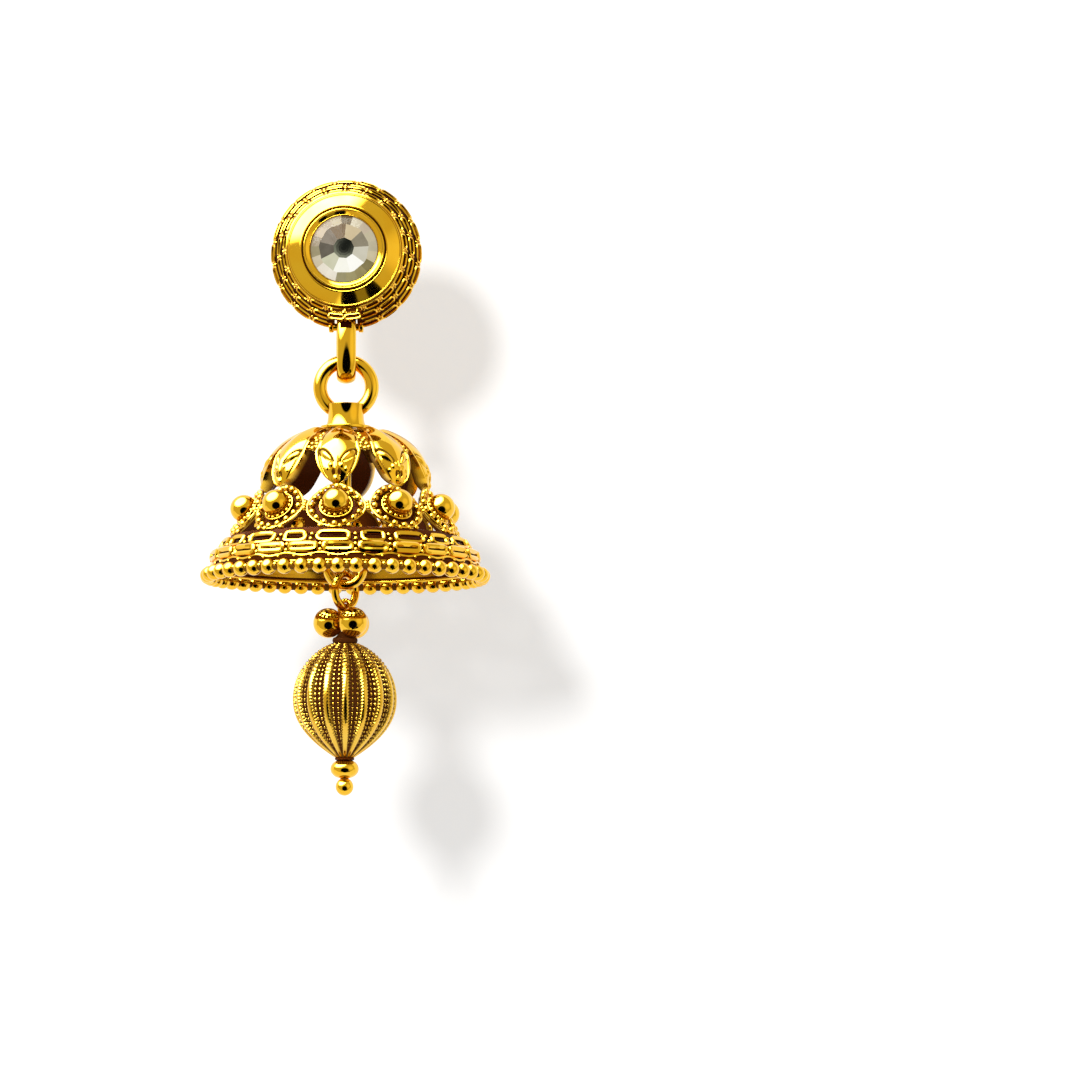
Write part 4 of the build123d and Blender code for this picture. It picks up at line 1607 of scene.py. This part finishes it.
@dataclass
class BellSkirt(Jeweller):
    """Flared band of two rows of oblong links and a wavy wire, over the beaded rim.

    An out is a distance off the band's line, and an along one down it. A link's shape is its half width, half
    height, power, distance along, distance out, half wire and lean.
    """

    corners: Corners = ((10.45, -25.85), (11.2, -26.5), (12.05, -27.3), (12.15, -28.4))
    corner_round: float = 0.55
    corner_steps: int = 8
    segments: int = 192
    hoop_sides: int = 12
    band_out: Pair = (-0.3, -0.7)
    band_shade: Pair = (1.0, 0.3)
    foot: Corners = ((11.7, -28.2), (11.95, -28.2), (11.95, -28.75), (11.7, -28.75))
    foot_round: float = 0.05
    links: int = 24
    upper_pairs: int = 10
    long_link: tuple[float, ...] = (1.38, 0.46, 4.0, 0.95, -0.08, 0.22, 0.3)
    short_link: tuple[float, ...] = (0.96, 0.46, 4.0, 0.95, -0.08, 0.22, 0.3)
    lower_link: tuple[float, ...] = (1.2, 0.31, 5.0, 2.3, -0.1, 0.26, 0.2)
    link_points: int = 28
    upper_gap: float = 0.176
    upper_front: float = -1.8
    lower_front: float = 0.5
    upper_knots: Pair = (0.95, 0.34)  # along, and half the height between them
    lower_knots: Pair = (2.3, 0.3)
    knot_r: float = 0.19
    knot_out: float = -0.12
    wave_along: float = 2.98
    wave_high: float = 0.12
    wave_wire: float = 0.12
    wave_out: float = -0.14
    wave_steps: int = 16
    arc_along: float = 3.12
    arc_r: float = 0.15
    rim_beads: int = 48
    rim_front: float = 0.5
    rim_r: float = 12.34
    rim_z: float = -29.2
    bead_r: float = 0.71
    bead_detail: Detail = (15, 24)
    dot_r: float = 0.2
    dot_out: float = 0.2
    dot_up: float = 0.16
    rim_wire: float = 0.34
    rim_shade: float = 0.9
    inner_hoop: Triple = (11.82, 0.16, -28.75)  # radius, half wire and height

    def make(self) -> None:
        """Builds the band, its links and the rim."""
        line = rounded(self.corners, self.corner_round, closed=False, steps=self.corner_steps)
        slope = Slope(HANG_AXIS, line)
        # painted shade: the band behind the links is darkened, fully outside and a little inside, and its
        # foot fully
        band = joined(
            slope.band(0.0, slope.run[-1], *self.band_out, self.segments, self.band_shade),
            HANG_AXIS.turned(rounded(self.foot, self.foot_round), self.segments, True, 1.0),
        )
        self.piece("skirt_band", band, "bell", "bell_skirt")
        self.piece("skirt_links", self.rows(slope), "bell")
        self.piece("beaded_rim", self.rim(), "bell", "bead_rim")

    def rows(self, slope: Slope) -> Shape:
        """Upper row of long and short open links, lower row of links, knots between neighbours, and below
        them a wire whose distance down the band is a cosine of the angle, over small balls.

        Args:
            slope: The band's line.

        Returns:
            The closed shape.
        """
        pair = FULL_TURN / self.upper_pairs
        long = spaced(self.upper_pairs, self.upper_front)
        pitch = FULL_TURN / self.links
        lower = spaced(self.links, self.lower_front)
        shapes = []
        kinds = ((long, self.long_link), (long + pair / 2, self.short_link), (lower, self.lower_link))
        for angles, (half_wide, half_high, power, along, out, wire, lean) in kinds:
            outline = even_outline(half_wide, half_high, power, self.link_points)
            shapes.append(slope.frames(along, angles, outline, out, wire, lean))
        upper = np.concatenate([long + side * self.upper_gap for side in (-1, 1)])
        for (along, high), between in ((self.upper_knots, upper), (self.lower_knots, lower + pitch / 2)):
            at = [np.full(len(between), along + side * high) for side in (-1, 1)]
            places = np.concatenate([slope.lay(row, between, self.knot_out) for row in at])
            shapes.append(balls(places, self.knot_r, *SMALL_BALL))
        turn = np.linspace(0, FULL_TURN, self.links * self.wave_steps, endpoint=False)
        wave = self.wave_along + self.wave_high * np.cos(self.links * (turn - math.radians(self.lower_front)))
        shapes.append(slope.wire(wave[None], turn[None], self.wave_out, self.wave_wire))
        arcs = spaced(self.rim_beads, self.rim_front, 0.5)
        places = slope.lay(np.full(self.rim_beads, self.arc_along), arcs, self.wave_out)
        shapes.append(balls(places, self.arc_r, *SMALL_BALL))
        return joined(*shapes)

    def rim(self) -> Shape:
        """Beads side by side on a hoop that is painted dark as shade in the gaps between them, small granules
        between them and a plain hoop inside.

        Returns:
            The closed shape.
        """
        angles = spaced(self.rim_beads, self.rim_front)
        between = angles + math.pi / self.rim_beads
        flat = np.ones(self.rim_beads)
        beads = HANG_AXIS.place(self.rim_r * flat, angles, self.rim_z * flat)
        dots = HANG_AXIS.place((self.rim_r + self.dot_out) * flat, between, (self.rim_z + self.dot_up) * flat)
        radius, wire, height = self.inner_hoop
        detail = (self.segments, self.hoop_sides)
        # painted shade: the hoop under the beads is darkened to fill the gaps between them
        return joined(
            balls(beads, self.bead_r, *self.bead_detail),
            balls(dots, self.dot_r, *SMALL_BALL),
            HANG_AXIS.hoop(radius, wire, height, *detail),
            HANG_AXIS.hoop(self.rim_r, self.rim_wire, self.rim_z, *detail, self.rim_shade),
        )


@dataclass
class Drop(Jeweller):
    """Jump ring, the drop's own ring, three beads and the two end beads, on one pin."""

    jump_r: float = 1.56
    jump_wire: float = 0.46
    jump_z: float = -28.43
    ring_r: float = 1.52
    ring_wire: float = 0.36
    ring_detail: Detail = (96, 24)
    ring_turn: float = 34.0
    pin_r: float = 0.22
    pin_round: float = 0.05
    pin_segments: int = 24
    eye_r: float = 0.63
    eye_detail: Detail = (32, 12)
    eye_z: float = -32.01
    cluster_r: float = 1.35
    cluster_weld: float = 0.03
    cluster_z: float = -33.4
    cluster_turns: Triple = (-60.0, 60.0, 180.0)
    cluster_detail: Detail = (27, 48)
    spacer_r: float = 1.27
    spacer_half: float = 0.88
    spacer_z: float = -46.5
    spacer_power: float = 0.85
    spacer_detail: Detail = (25, 64)
    washer_r: float = 0.78
    washer_wire: float = 0.11
    washer_share: float = 1.02
    washer_detail: Detail = (48, 8)
    neck: Corners = ((0, -47.2), (0.42, -47.25), (0.36, -47.4), (0.42, -47.55), (0, -47.6))
    neck_shade: float = 0.8
    neck_segments: int = 32
    ball_r: float = 0.8
    ball_z: float = -48.1
    ball_detail: Detail = (21, 36)

    def make(self) -> None:
        """Builds the rings, the beads and the pin."""
        jump = Spindle((0, HANG_Y, self.jump_z), (1, 0, 0), (0, 0, 1), (0, -1, 0))
        ring = jump.hoop(self.jump_r, self.jump_wire, 0, *self.ring_detail)
        self.piece("round_jump_ring", ring, "bell_ring", "jump_ring")
        turn = math.radians(self.ring_turn)
        facing = (math.cos(turn), -math.sin(turn), 0)
        in_plane = (math.sin(turn), math.cos(turn), 0)
        centre = tuple(float(value) for value in Extent.of("drop_ring").middle)
        hoop = Spindle(centre, in_plane, (0, 0, 1), facing)
        hoop = hoop.hoop(self.ring_r, self.ring_wire, 0, *self.ring_detail)
        self.piece("drop_hoop", hoop, "drop", "drop_ring")
        self.piece("ball_pin", self.pin(facing, in_plane), "drop", "drop_pin")
        reach = (self.cluster_r - self.cluster_weld) * 2 / math.sqrt(3)
        turns = np.radians(self.cluster_turns)
        across, deep = reach * np.cos(turns), HANG_Y + reach * np.sin(turns)
        centres = np.stack([across, deep, np.full(3, self.cluster_z)], 1)
        beads = balls(centres, self.cluster_r, *self.cluster_detail)
        self.piece("three_beads", beads, "drop", "bead_cluster")
        self.piece("flat_spacer", self.spacer(), "drop", "spacer_bead")

    def spacer(self) -> Shape:
        """Flattened bead under a small washer painted dark as shade. Its radius is R times cos^p of the angle
        and its height H times the sine, from the top to the bottom.

        Returns:
            The closed shape.
        """
        rows, columns = self.spacer_detail
        turn = np.linspace(math.pi / 2, -math.pi / 2, rows)
        radius = self.spacer_r * np.cos(turn) ** self.spacer_power
        outline = np.stack([radius, self.spacer_z + self.spacer_half * np.sin(turn)], 1)
        washer_z = self.spacer_z + self.washer_share * self.spacer_half
        # painted shade on the washer
        return joined(
            HANG_AXIS.turned(outline, columns, False),
            HANG_AXIS.hoop(self.washer_r, self.washer_wire, washer_z, *self.washer_detail, 1.0),
        )

    def pin(self, right: Place, axis: Place) -> Shape:
        """Pin with its eye above, and below its neck, painted dark as shade, and its ball.

        Args:
            right: Level direction in the eye's plane.
            axis: Direction of the eye's axis.

        Returns:
            The closed shape.
        """
        eye = Spindle((0, HANG_Y, self.eye_z), right, (0, 0, 1), axis)
        top = self.eye_z - self.eye_r
        neck = rounded(self.neck, self.pin_round, False)
        wire = [(0, top), (self.pin_r, top), (self.pin_r, self.ball_z), (0, self.ball_z)]
        # painted shade on the neck
        return joined(
            HANG_AXIS.turned(rounded(wire, self.pin_round, False), self.pin_segments, False),
            HANG_AXIS.turned(neck, self.neck_segments, False, self.neck_shade),
            balls(np.array([[0, HANG_Y, self.ball_z]]), self.ball_r, *self.ball_detail),
            eye.hoop(self.eye_r, self.pin_r, 0, *self.eye_detail),
        )


@dataclass
class RibbedBead(Jeweller):
    """Hollow melon bead with sixteen polished ribs and two rows of granules in each dark groove.

    A fade is the start and the end of a smooth step. A part is a share of a rib's pitch.
    """

    ribs: int = 16
    front: float = 4.4
    radius: float = 4.68
    half: float = 5.3
    middle_z: float = -40.25
    neck_r: float = 1.1
    foot_r: float = 0.8
    top_power: float = 0.57
    foot_power: float = 2.2
    line_points: int = 400
    rows: int = 180
    columns: int = 20
    rib_half: float = 0.3
    rib_part: float = 0.2
    rib_edge: Pair = (-0.03, 0.12)
    rib_lift: float = -0.02
    crown: float = -0.22
    tooth: float = 0.05
    tooth_fade: Pair = (0.8, 1.4)
    groove: float = 0.36
    notch_pitch: float = 0.4
    notch_deep: float = 0.1
    notch_dark: float = 0.8
    notch_fade: Pair = (0.0, 0.9)
    notch_end_fade: Pair = (0.36, 0.22)
    granule_rows: int = 27
    granule_span: Pair = (0.05, 0.96)
    granule_part: float = 0.065
    granule_size: Pair = (0.04, 0.105)
    granule_side: float = 0.13
    granule_out: float = -0.22
    granule_long: float = 1.5
    granule_dark: float = 0.12
    neck: Corners = (
        (0, -33.75), (0.3, -33.85), (0.42, -34.15), (0.8, -34.62), (1.1, -34.78), (1.14, -35.0),
        (1.05, -35.25), (0, -35.3),
    )
    neck_round: float = 0.06
    neck_segments: int = 48

    @property
    def slope(self) -> Slope:
        """Bead's line, with t the height from -1 to 1. The radius is R (1 - t^2)^0.57 above the middle, and
        below it a foot plus the rest times 1 - |t|^2.2. It starts at the neck's radius.

        Returns:
            The line, turned about the drop's axis.
        """
        t = np.cos(np.linspace(0.0, math.pi, self.line_points))
        above = self.radius * np.abs(1 - t**2) ** self.top_power
        below = self.foot_r + (self.radius - self.foot_r) * (1 - np.abs(t) ** self.foot_power)
        line = np.stack([np.where(t > 0, above, below), self.middle_z + self.half * t], 1)
        return Slope(HANG_AXIS, line[(t < 0) | (line[:, 0] > self.neck_r)])

    def make(self) -> None:
        """Builds the ribbed shell and the granules."""
        metal = {"material": self.finishes.antiqued, "slot": Slot.ANTIQUED}
        self.piece("ribbed_shell", self.shell(), "drop", "ribbed_bead", **metal)
        self.piece("groove_granules", self.granules(), "drop", **metal)

    def shell(self) -> Shape:
        """Shell whose distance off the bead's line depends on the distance from the nearest rib's middle: a
        round crown, less its square, on the rib, a step down to the groove at its toothed edge, and notches
        across the rib in its upper part. Every second pair of rows is a tooth.

        Returns:
            The closed shape.
        """
        slope = self.slope
        end = slope.run[-1]
        along = np.linspace(0, end, self.rows)
        pitch = FULL_TURN / self.ribs
        steps = np.arange(self.ribs * self.columns) / self.columns
        angle = math.radians(self.front) + steps * pitch
        wide = slope.radius(along)[:, None] * pitch
        side = np.abs((steps + 0.5) % 1 - 0.5) * wide
        tooth = self.tooth * np.where(np.arange(self.rows) % 4 < 2, 1.0, -1.0)[:, None]
        rib_half = np.minimum(self.rib_half, self.rib_part * wide)
        rib_half = rib_half + tooth * smooth_step(wide, *self.tooth_fade)
        edge = smooth_step(side, rib_half + self.rib_edge[0], rib_half + self.rib_edge[1])
        crown = self.crown * np.minimum(side / rib_half, 1) ** 2 * rib_half
        deep = np.minimum(self.groove, self.rib_part * wide)
        along = along[:, None]
        notch = smooth_step(along / end, *self.notch_end_fade)
        notch = notch * smooth_step(np.cos(FULL_TURN * along / self.notch_pitch), *self.notch_fade)
        rib = np.where(edge < 1, crown * (1 - edge), 0)
        out = self.rib_lift + rib - deep * edge - self.notch_deep * notch * (1 - edge)
        depth = np.clip(edge + self.notch_dark * notch, 0, 1)
        return lofted(slope.lay(along, angle, out), False, None, depth)

    def granules(self) -> Shape:
        """Two rows of granules in each groove, smaller where the grooves narrow, and the neck's dark ring.

        Returns:
            The closed shape.
        """
        slope = self.slope
        pitch = FULL_TURN / self.ribs
        along = np.linspace(*self.granule_span, self.granule_rows) * slope.run[-1]
        size = np.clip(self.granule_part * slope.radius(along) * pitch, *self.granule_size)
        groove = spaced(self.ribs, self.front, 0.5)
        angle = groove[:, None, None] + np.array([-1, 1])[:, None] * (self.granule_side * pitch)
        angle, along, size = (value.ravel() for value in np.broadcast_arrays(angle, along, size))
        return joined(
            slope.grains(along, angle, self.granule_out, size, self.granule_long, self.granule_dark),
            HANG_AXIS.turned(rounded(self.neck, self.neck_round, False), self.neck_segments, False, 1.0),
        )


# --- Studio -------------------------------------------------------------------------------------------------


@dataclass(frozen=True)
class Card:
    """Soft-edged round card in the world.

    Attributes:
        direction: Where its middle is.
        inner: Degrees from its middle up to which it has its full colour.
        outer: Degrees past which nothing of it shows.
        colour: Its colour, which is above 1 where it is a light.
    """

    direction: Place
    inner: float
    outer: float
    colour: Colour = (0.0, 0.0, 0.0, 1.0)


@dataclass
class Studio:
    """Camera, lights, backdrop and floor. Lengths are millimetres, and angles degrees.

    The world is a tent of pale paper that polished metal shows. Its cards are laid on in their order: a low
    light, a warm card at the right, a brown shade, and three dark gaps. From the front, the shade and the two
    narrow gaps show as dark sectors on the bevel. Rays that have met metal more often than later_depth see
    the tent dimmer, with a weaker window.
    """

    distance: float = 430.0
    elevation: float = -5.2
    azimuth: float = 1.3
    frame_width: float = 97.2
    aim: Place = (17.5, 0.0, -25.9)
    sensor: float = 36.0
    clip: Pair = (1.0, 10000.0)
    wide: float = 400.0
    wall_y: float = 23.5
    wall_lean: float = 0.17
    wall_top: float = 60.0
    wall_glow: float = 0.38
    floor_z: float = -110.0
    floor_reach: float = 40.0
    floor_glow: float = 0.5
    paper_shade: float = 0.8
    key_direction: Place = (-0.255, -1.0, 0.25)
    key_aim: Place = (0.0, 0.0, -25.0)
    key_distance: float = 500.0
    key_size: float = 75.0
    key_power: float = 1.5
    tent: Colour = (0.66, 0.6, 0.3, 1.0)
    cards: tuple[Card, ...] = (
        Card((0.05, -0.6, -0.8), 8, 19, (2.5, 2.4, 1.7, 1.0)),
        Card((0.8, -0.55, 0.12), 10, 30, (1.0, 0.93, 0.55, 1.0)),
        Card((0.3, -0.465, -0.833), 7, 9, (0.26, 0.24, 0.1, 1.0)),
        Card((0.08, -0.9, -0.42), 29, 36),
        Card((0.04, -0.46, -0.887), 9, 10.5),
        Card((0.54, -0.465, -0.7), 8, 9.5),
    )
    window: Card = Card((-0.45, -0.36, 0.82), 30, 45, (22.0, 22.0, 21.0, 1.0))
    later_window: Colour = (0.9, 0.85, 0.7, 1.0)
    later_depth: float = 2.5
    later_dim: float = 0.45
    soft_light: Colour = (1.0, 0.98, 0.95, 1.0)
    soft_strength: float = 0.5

    def paper(self, name: str, glow: float) -> bpy.types.Material:
        """Pale matt paper that looks white where no shadow falls. Only the camera, reflections and
        refractions see it, and only from its front.

        Args:
            name: Name of the material.
            glow: Strength of its own light.

        Returns:
            The material.
        """
        made, sheet = fresh_material(name)
        rays = sheet.node("LightPath")
        back = sheet.node("NewGeometry").outputs["Backfacing"]
        matt = sheet.node("BsdfDiffuse", None, Color=(self.paper_shade,) * 3 + (1.0,))
        light = sheet.node("Emission", None, Color=WHITE, Strength=glow)
        both = sheet.node("AddShader", None, i0=matt.outputs[0], i1=light.outputs[0])
        clear = sheet.node("BsdfTransparent")
        seen = sheet.node("MixShader", None, i0=back, i1=both.outputs[0], i2=clear.outputs[0])
        shown = rays.outputs["Is Camera Ray"]
        for kind in ("Is Glossy Ray", "Is Transmission Ray"):
            shown = sheet.node("Math", {"operation": "MAXIMUM"}, i0=shown, i1=rays.outputs[kind]).outputs[0]
        hidden = sheet.node("MixShader", None, i0=shown, i1=clear.outputs[0], i2=seen.outputs[0])
        sheet.node("OutputMaterial", None, Surface=hidden.outputs[0])
        return made

    def screen(self, name: str, near: Pair, far: Pair, glow: float) -> None:
        """Adds a flat sheet that isn't part of the earring, from edge to edge of the studio.

        Args:
            name: Name of the sheet.
            near: Depth and height of its first long edge.
            far: Depth and height of the other.
            glow: Strength of its paper's own light.
        """
        mesh = bpy.data.meshes.new(name)
        corners = [(side * self.wide, *edge) for side, edge in ((-1, near), (1, near), (1, far), (-1, far))]
        mesh.from_pydata([tuple(value * MM for value in corner) for corner in corners], [], [(0, 1, 2, 3)])
        mesh.materials.append(self.paper(name + "_paper", glow))
        made = bpy.data.objects.new(name, mesh)
        bpy.context.scene.collection.objects.link(made)

    def make(self) -> None:
        """Builds the studio. The backdrop leans forward as it rises."""
        self.make_camera()
        self.make_world()
        self.make_key()
        foot, head = (
            (self.wall_y - self.wall_lean * height, height) for height in (self.floor_z, self.wall_top)
        )
        self.screen("backdrop", foot, head, self.wall_glow)
        self.screen("floor", (-self.floor_reach, self.floor_z), foot, self.floor_glow)

    def make_camera(self) -> None:
        """Places the camera in front of the earring, a little below it."""
        turn, lift = math.radians(self.azimuth), math.radians(self.elevation)
        back = Vector((math.sin(turn) * math.cos(lift), -math.cos(turn) * math.cos(lift), math.sin(lift)))
        data = bpy.data.cameras.new("camera")
        data.sensor_width = self.sensor
        data.lens = self.sensor * self.distance / self.frame_width
        data.clip_start, data.clip_end = (value * MM for value in self.clip)
        camera = bpy.data.objects.new("camera", data)
        camera.location = (Vector(self.aim) + back * self.distance) * MM
        camera.rotation_euler = back.to_track_quat("Z", "Y").to_euler()
        bpy.context.scene.collection.objects.link(camera)
        bpy.context.scene.camera = camera

    def make_key(self) -> None:
        """Adds the soft key lamp that gives the earring its shadow."""
        data = bpy.data.lights.new("key", "AREA")
        data.shape = "DISK"
        data.size = self.key_size * MM
        data.energy = self.key_power
        lamp = bpy.data.objects.new("key", data)
        direction = Vector(self.key_direction).normalized()
        lamp.location = (direction * self.key_distance + Vector(self.key_aim)) * MM
        lamp.rotation_euler = direction.to_track_quat("Z", "Y").to_euler()
        lamp.visible_glossy = False
        bpy.context.scene.collection.objects.link(lamp)

    def share_of(self, card: Card, sheet: NodeSheet, look: bpy.types.NodeSocket) -> bpy.types.NodeSocket:
        """How much of a card a ray sees: a smooth step of the cosine of its angle from the card's middle.

        Args:
            card: The card.
            sheet: The world's nodes.
            look: Direction of the ray.

        Returns:
            Socket of the share, 1 on the card and 0 off it.
        """
        axis = Vector(card.direction).normalized()
        near = sheet.node("VectorMath", {"operation": "DOT_PRODUCT"}, i0=look, i1=axis).outputs["Value"]
        edge, full = (math.cos(math.radians(degrees)) for degrees in (card.outer, card.inner))
        smooth = {"interpolation_type": "SMOOTHSTEP"}
        return sheet.node("MapRange", smooth, Value=near, From_Min=edge, From_Max=full).outputs[0]

    def make_world(self) -> None:
        """Builds the tent, which reflections see. The camera sees white, and matt surfaces a soft light."""
        world = bpy.data.worlds.new("tent")
        world.use_nodes = True
        bpy.context.scene.world = world
        sheet = NodeSheet(world.node_tree)
        rays = sheet.node("LightPath")
        look = sheet.node("TexCoord").outputs["Generated"]
        tent = self.tent
        for card in self.cards:
            tent = sheet.mix(self.share_of(card, sheet, look), tent, card.colour)
        window = self.share_of(self.window, sheet, look)
        first = sheet.mix(window, tent, self.window.colour)
        later = sheet.mix(window, sheet.mix(self.later_dim, tent, BLACK), self.later_window)
        deep = sheet.node(
            "Math", {"operation": "GREATER_THAN"}, i0=rays.outputs["Ray Depth"], i1=self.later_depth
        ).outputs[0]
        glossy = sheet.node("Background", None, Color=sheet.mix(deep, first, later), Strength=1.0).outputs[0]
        white = sheet.node("Background", None, Color=WHITE, Strength=1.0).outputs[0]
        soft = sheet.node("Background", None, Color=self.soft_light, Strength=self.soft_strength).outputs[0]
        for kind, other in (("Is Glossy Ray", glossy), ("Is Camera Ray", white)):
            soft = sheet.node("MixShader", None, i0=rays.outputs[kind], i1=soft, i2=other).outputs[0]
        sheet.node("OutputWorld", None, Surface=soft)


def main() -> None:
    """Builds the studio and the earring."""
    bpy.context.scene.view_settings.view_transform = "Standard"
    Studio().make()
    finishes = Finishes()
    parts = (
        StoneSetting, StudCup, HangingLink, BellHanger, PetalDome, BeadLattice, BellSkirt, Drop, RibbedBead,
    )
    for part in parts:
        part(finishes).make()
        log.info("%s done", part.__name__)
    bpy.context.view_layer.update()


if __name__ == "__main__":
    logging.basicConfig(level=logging.INFO)
    main()
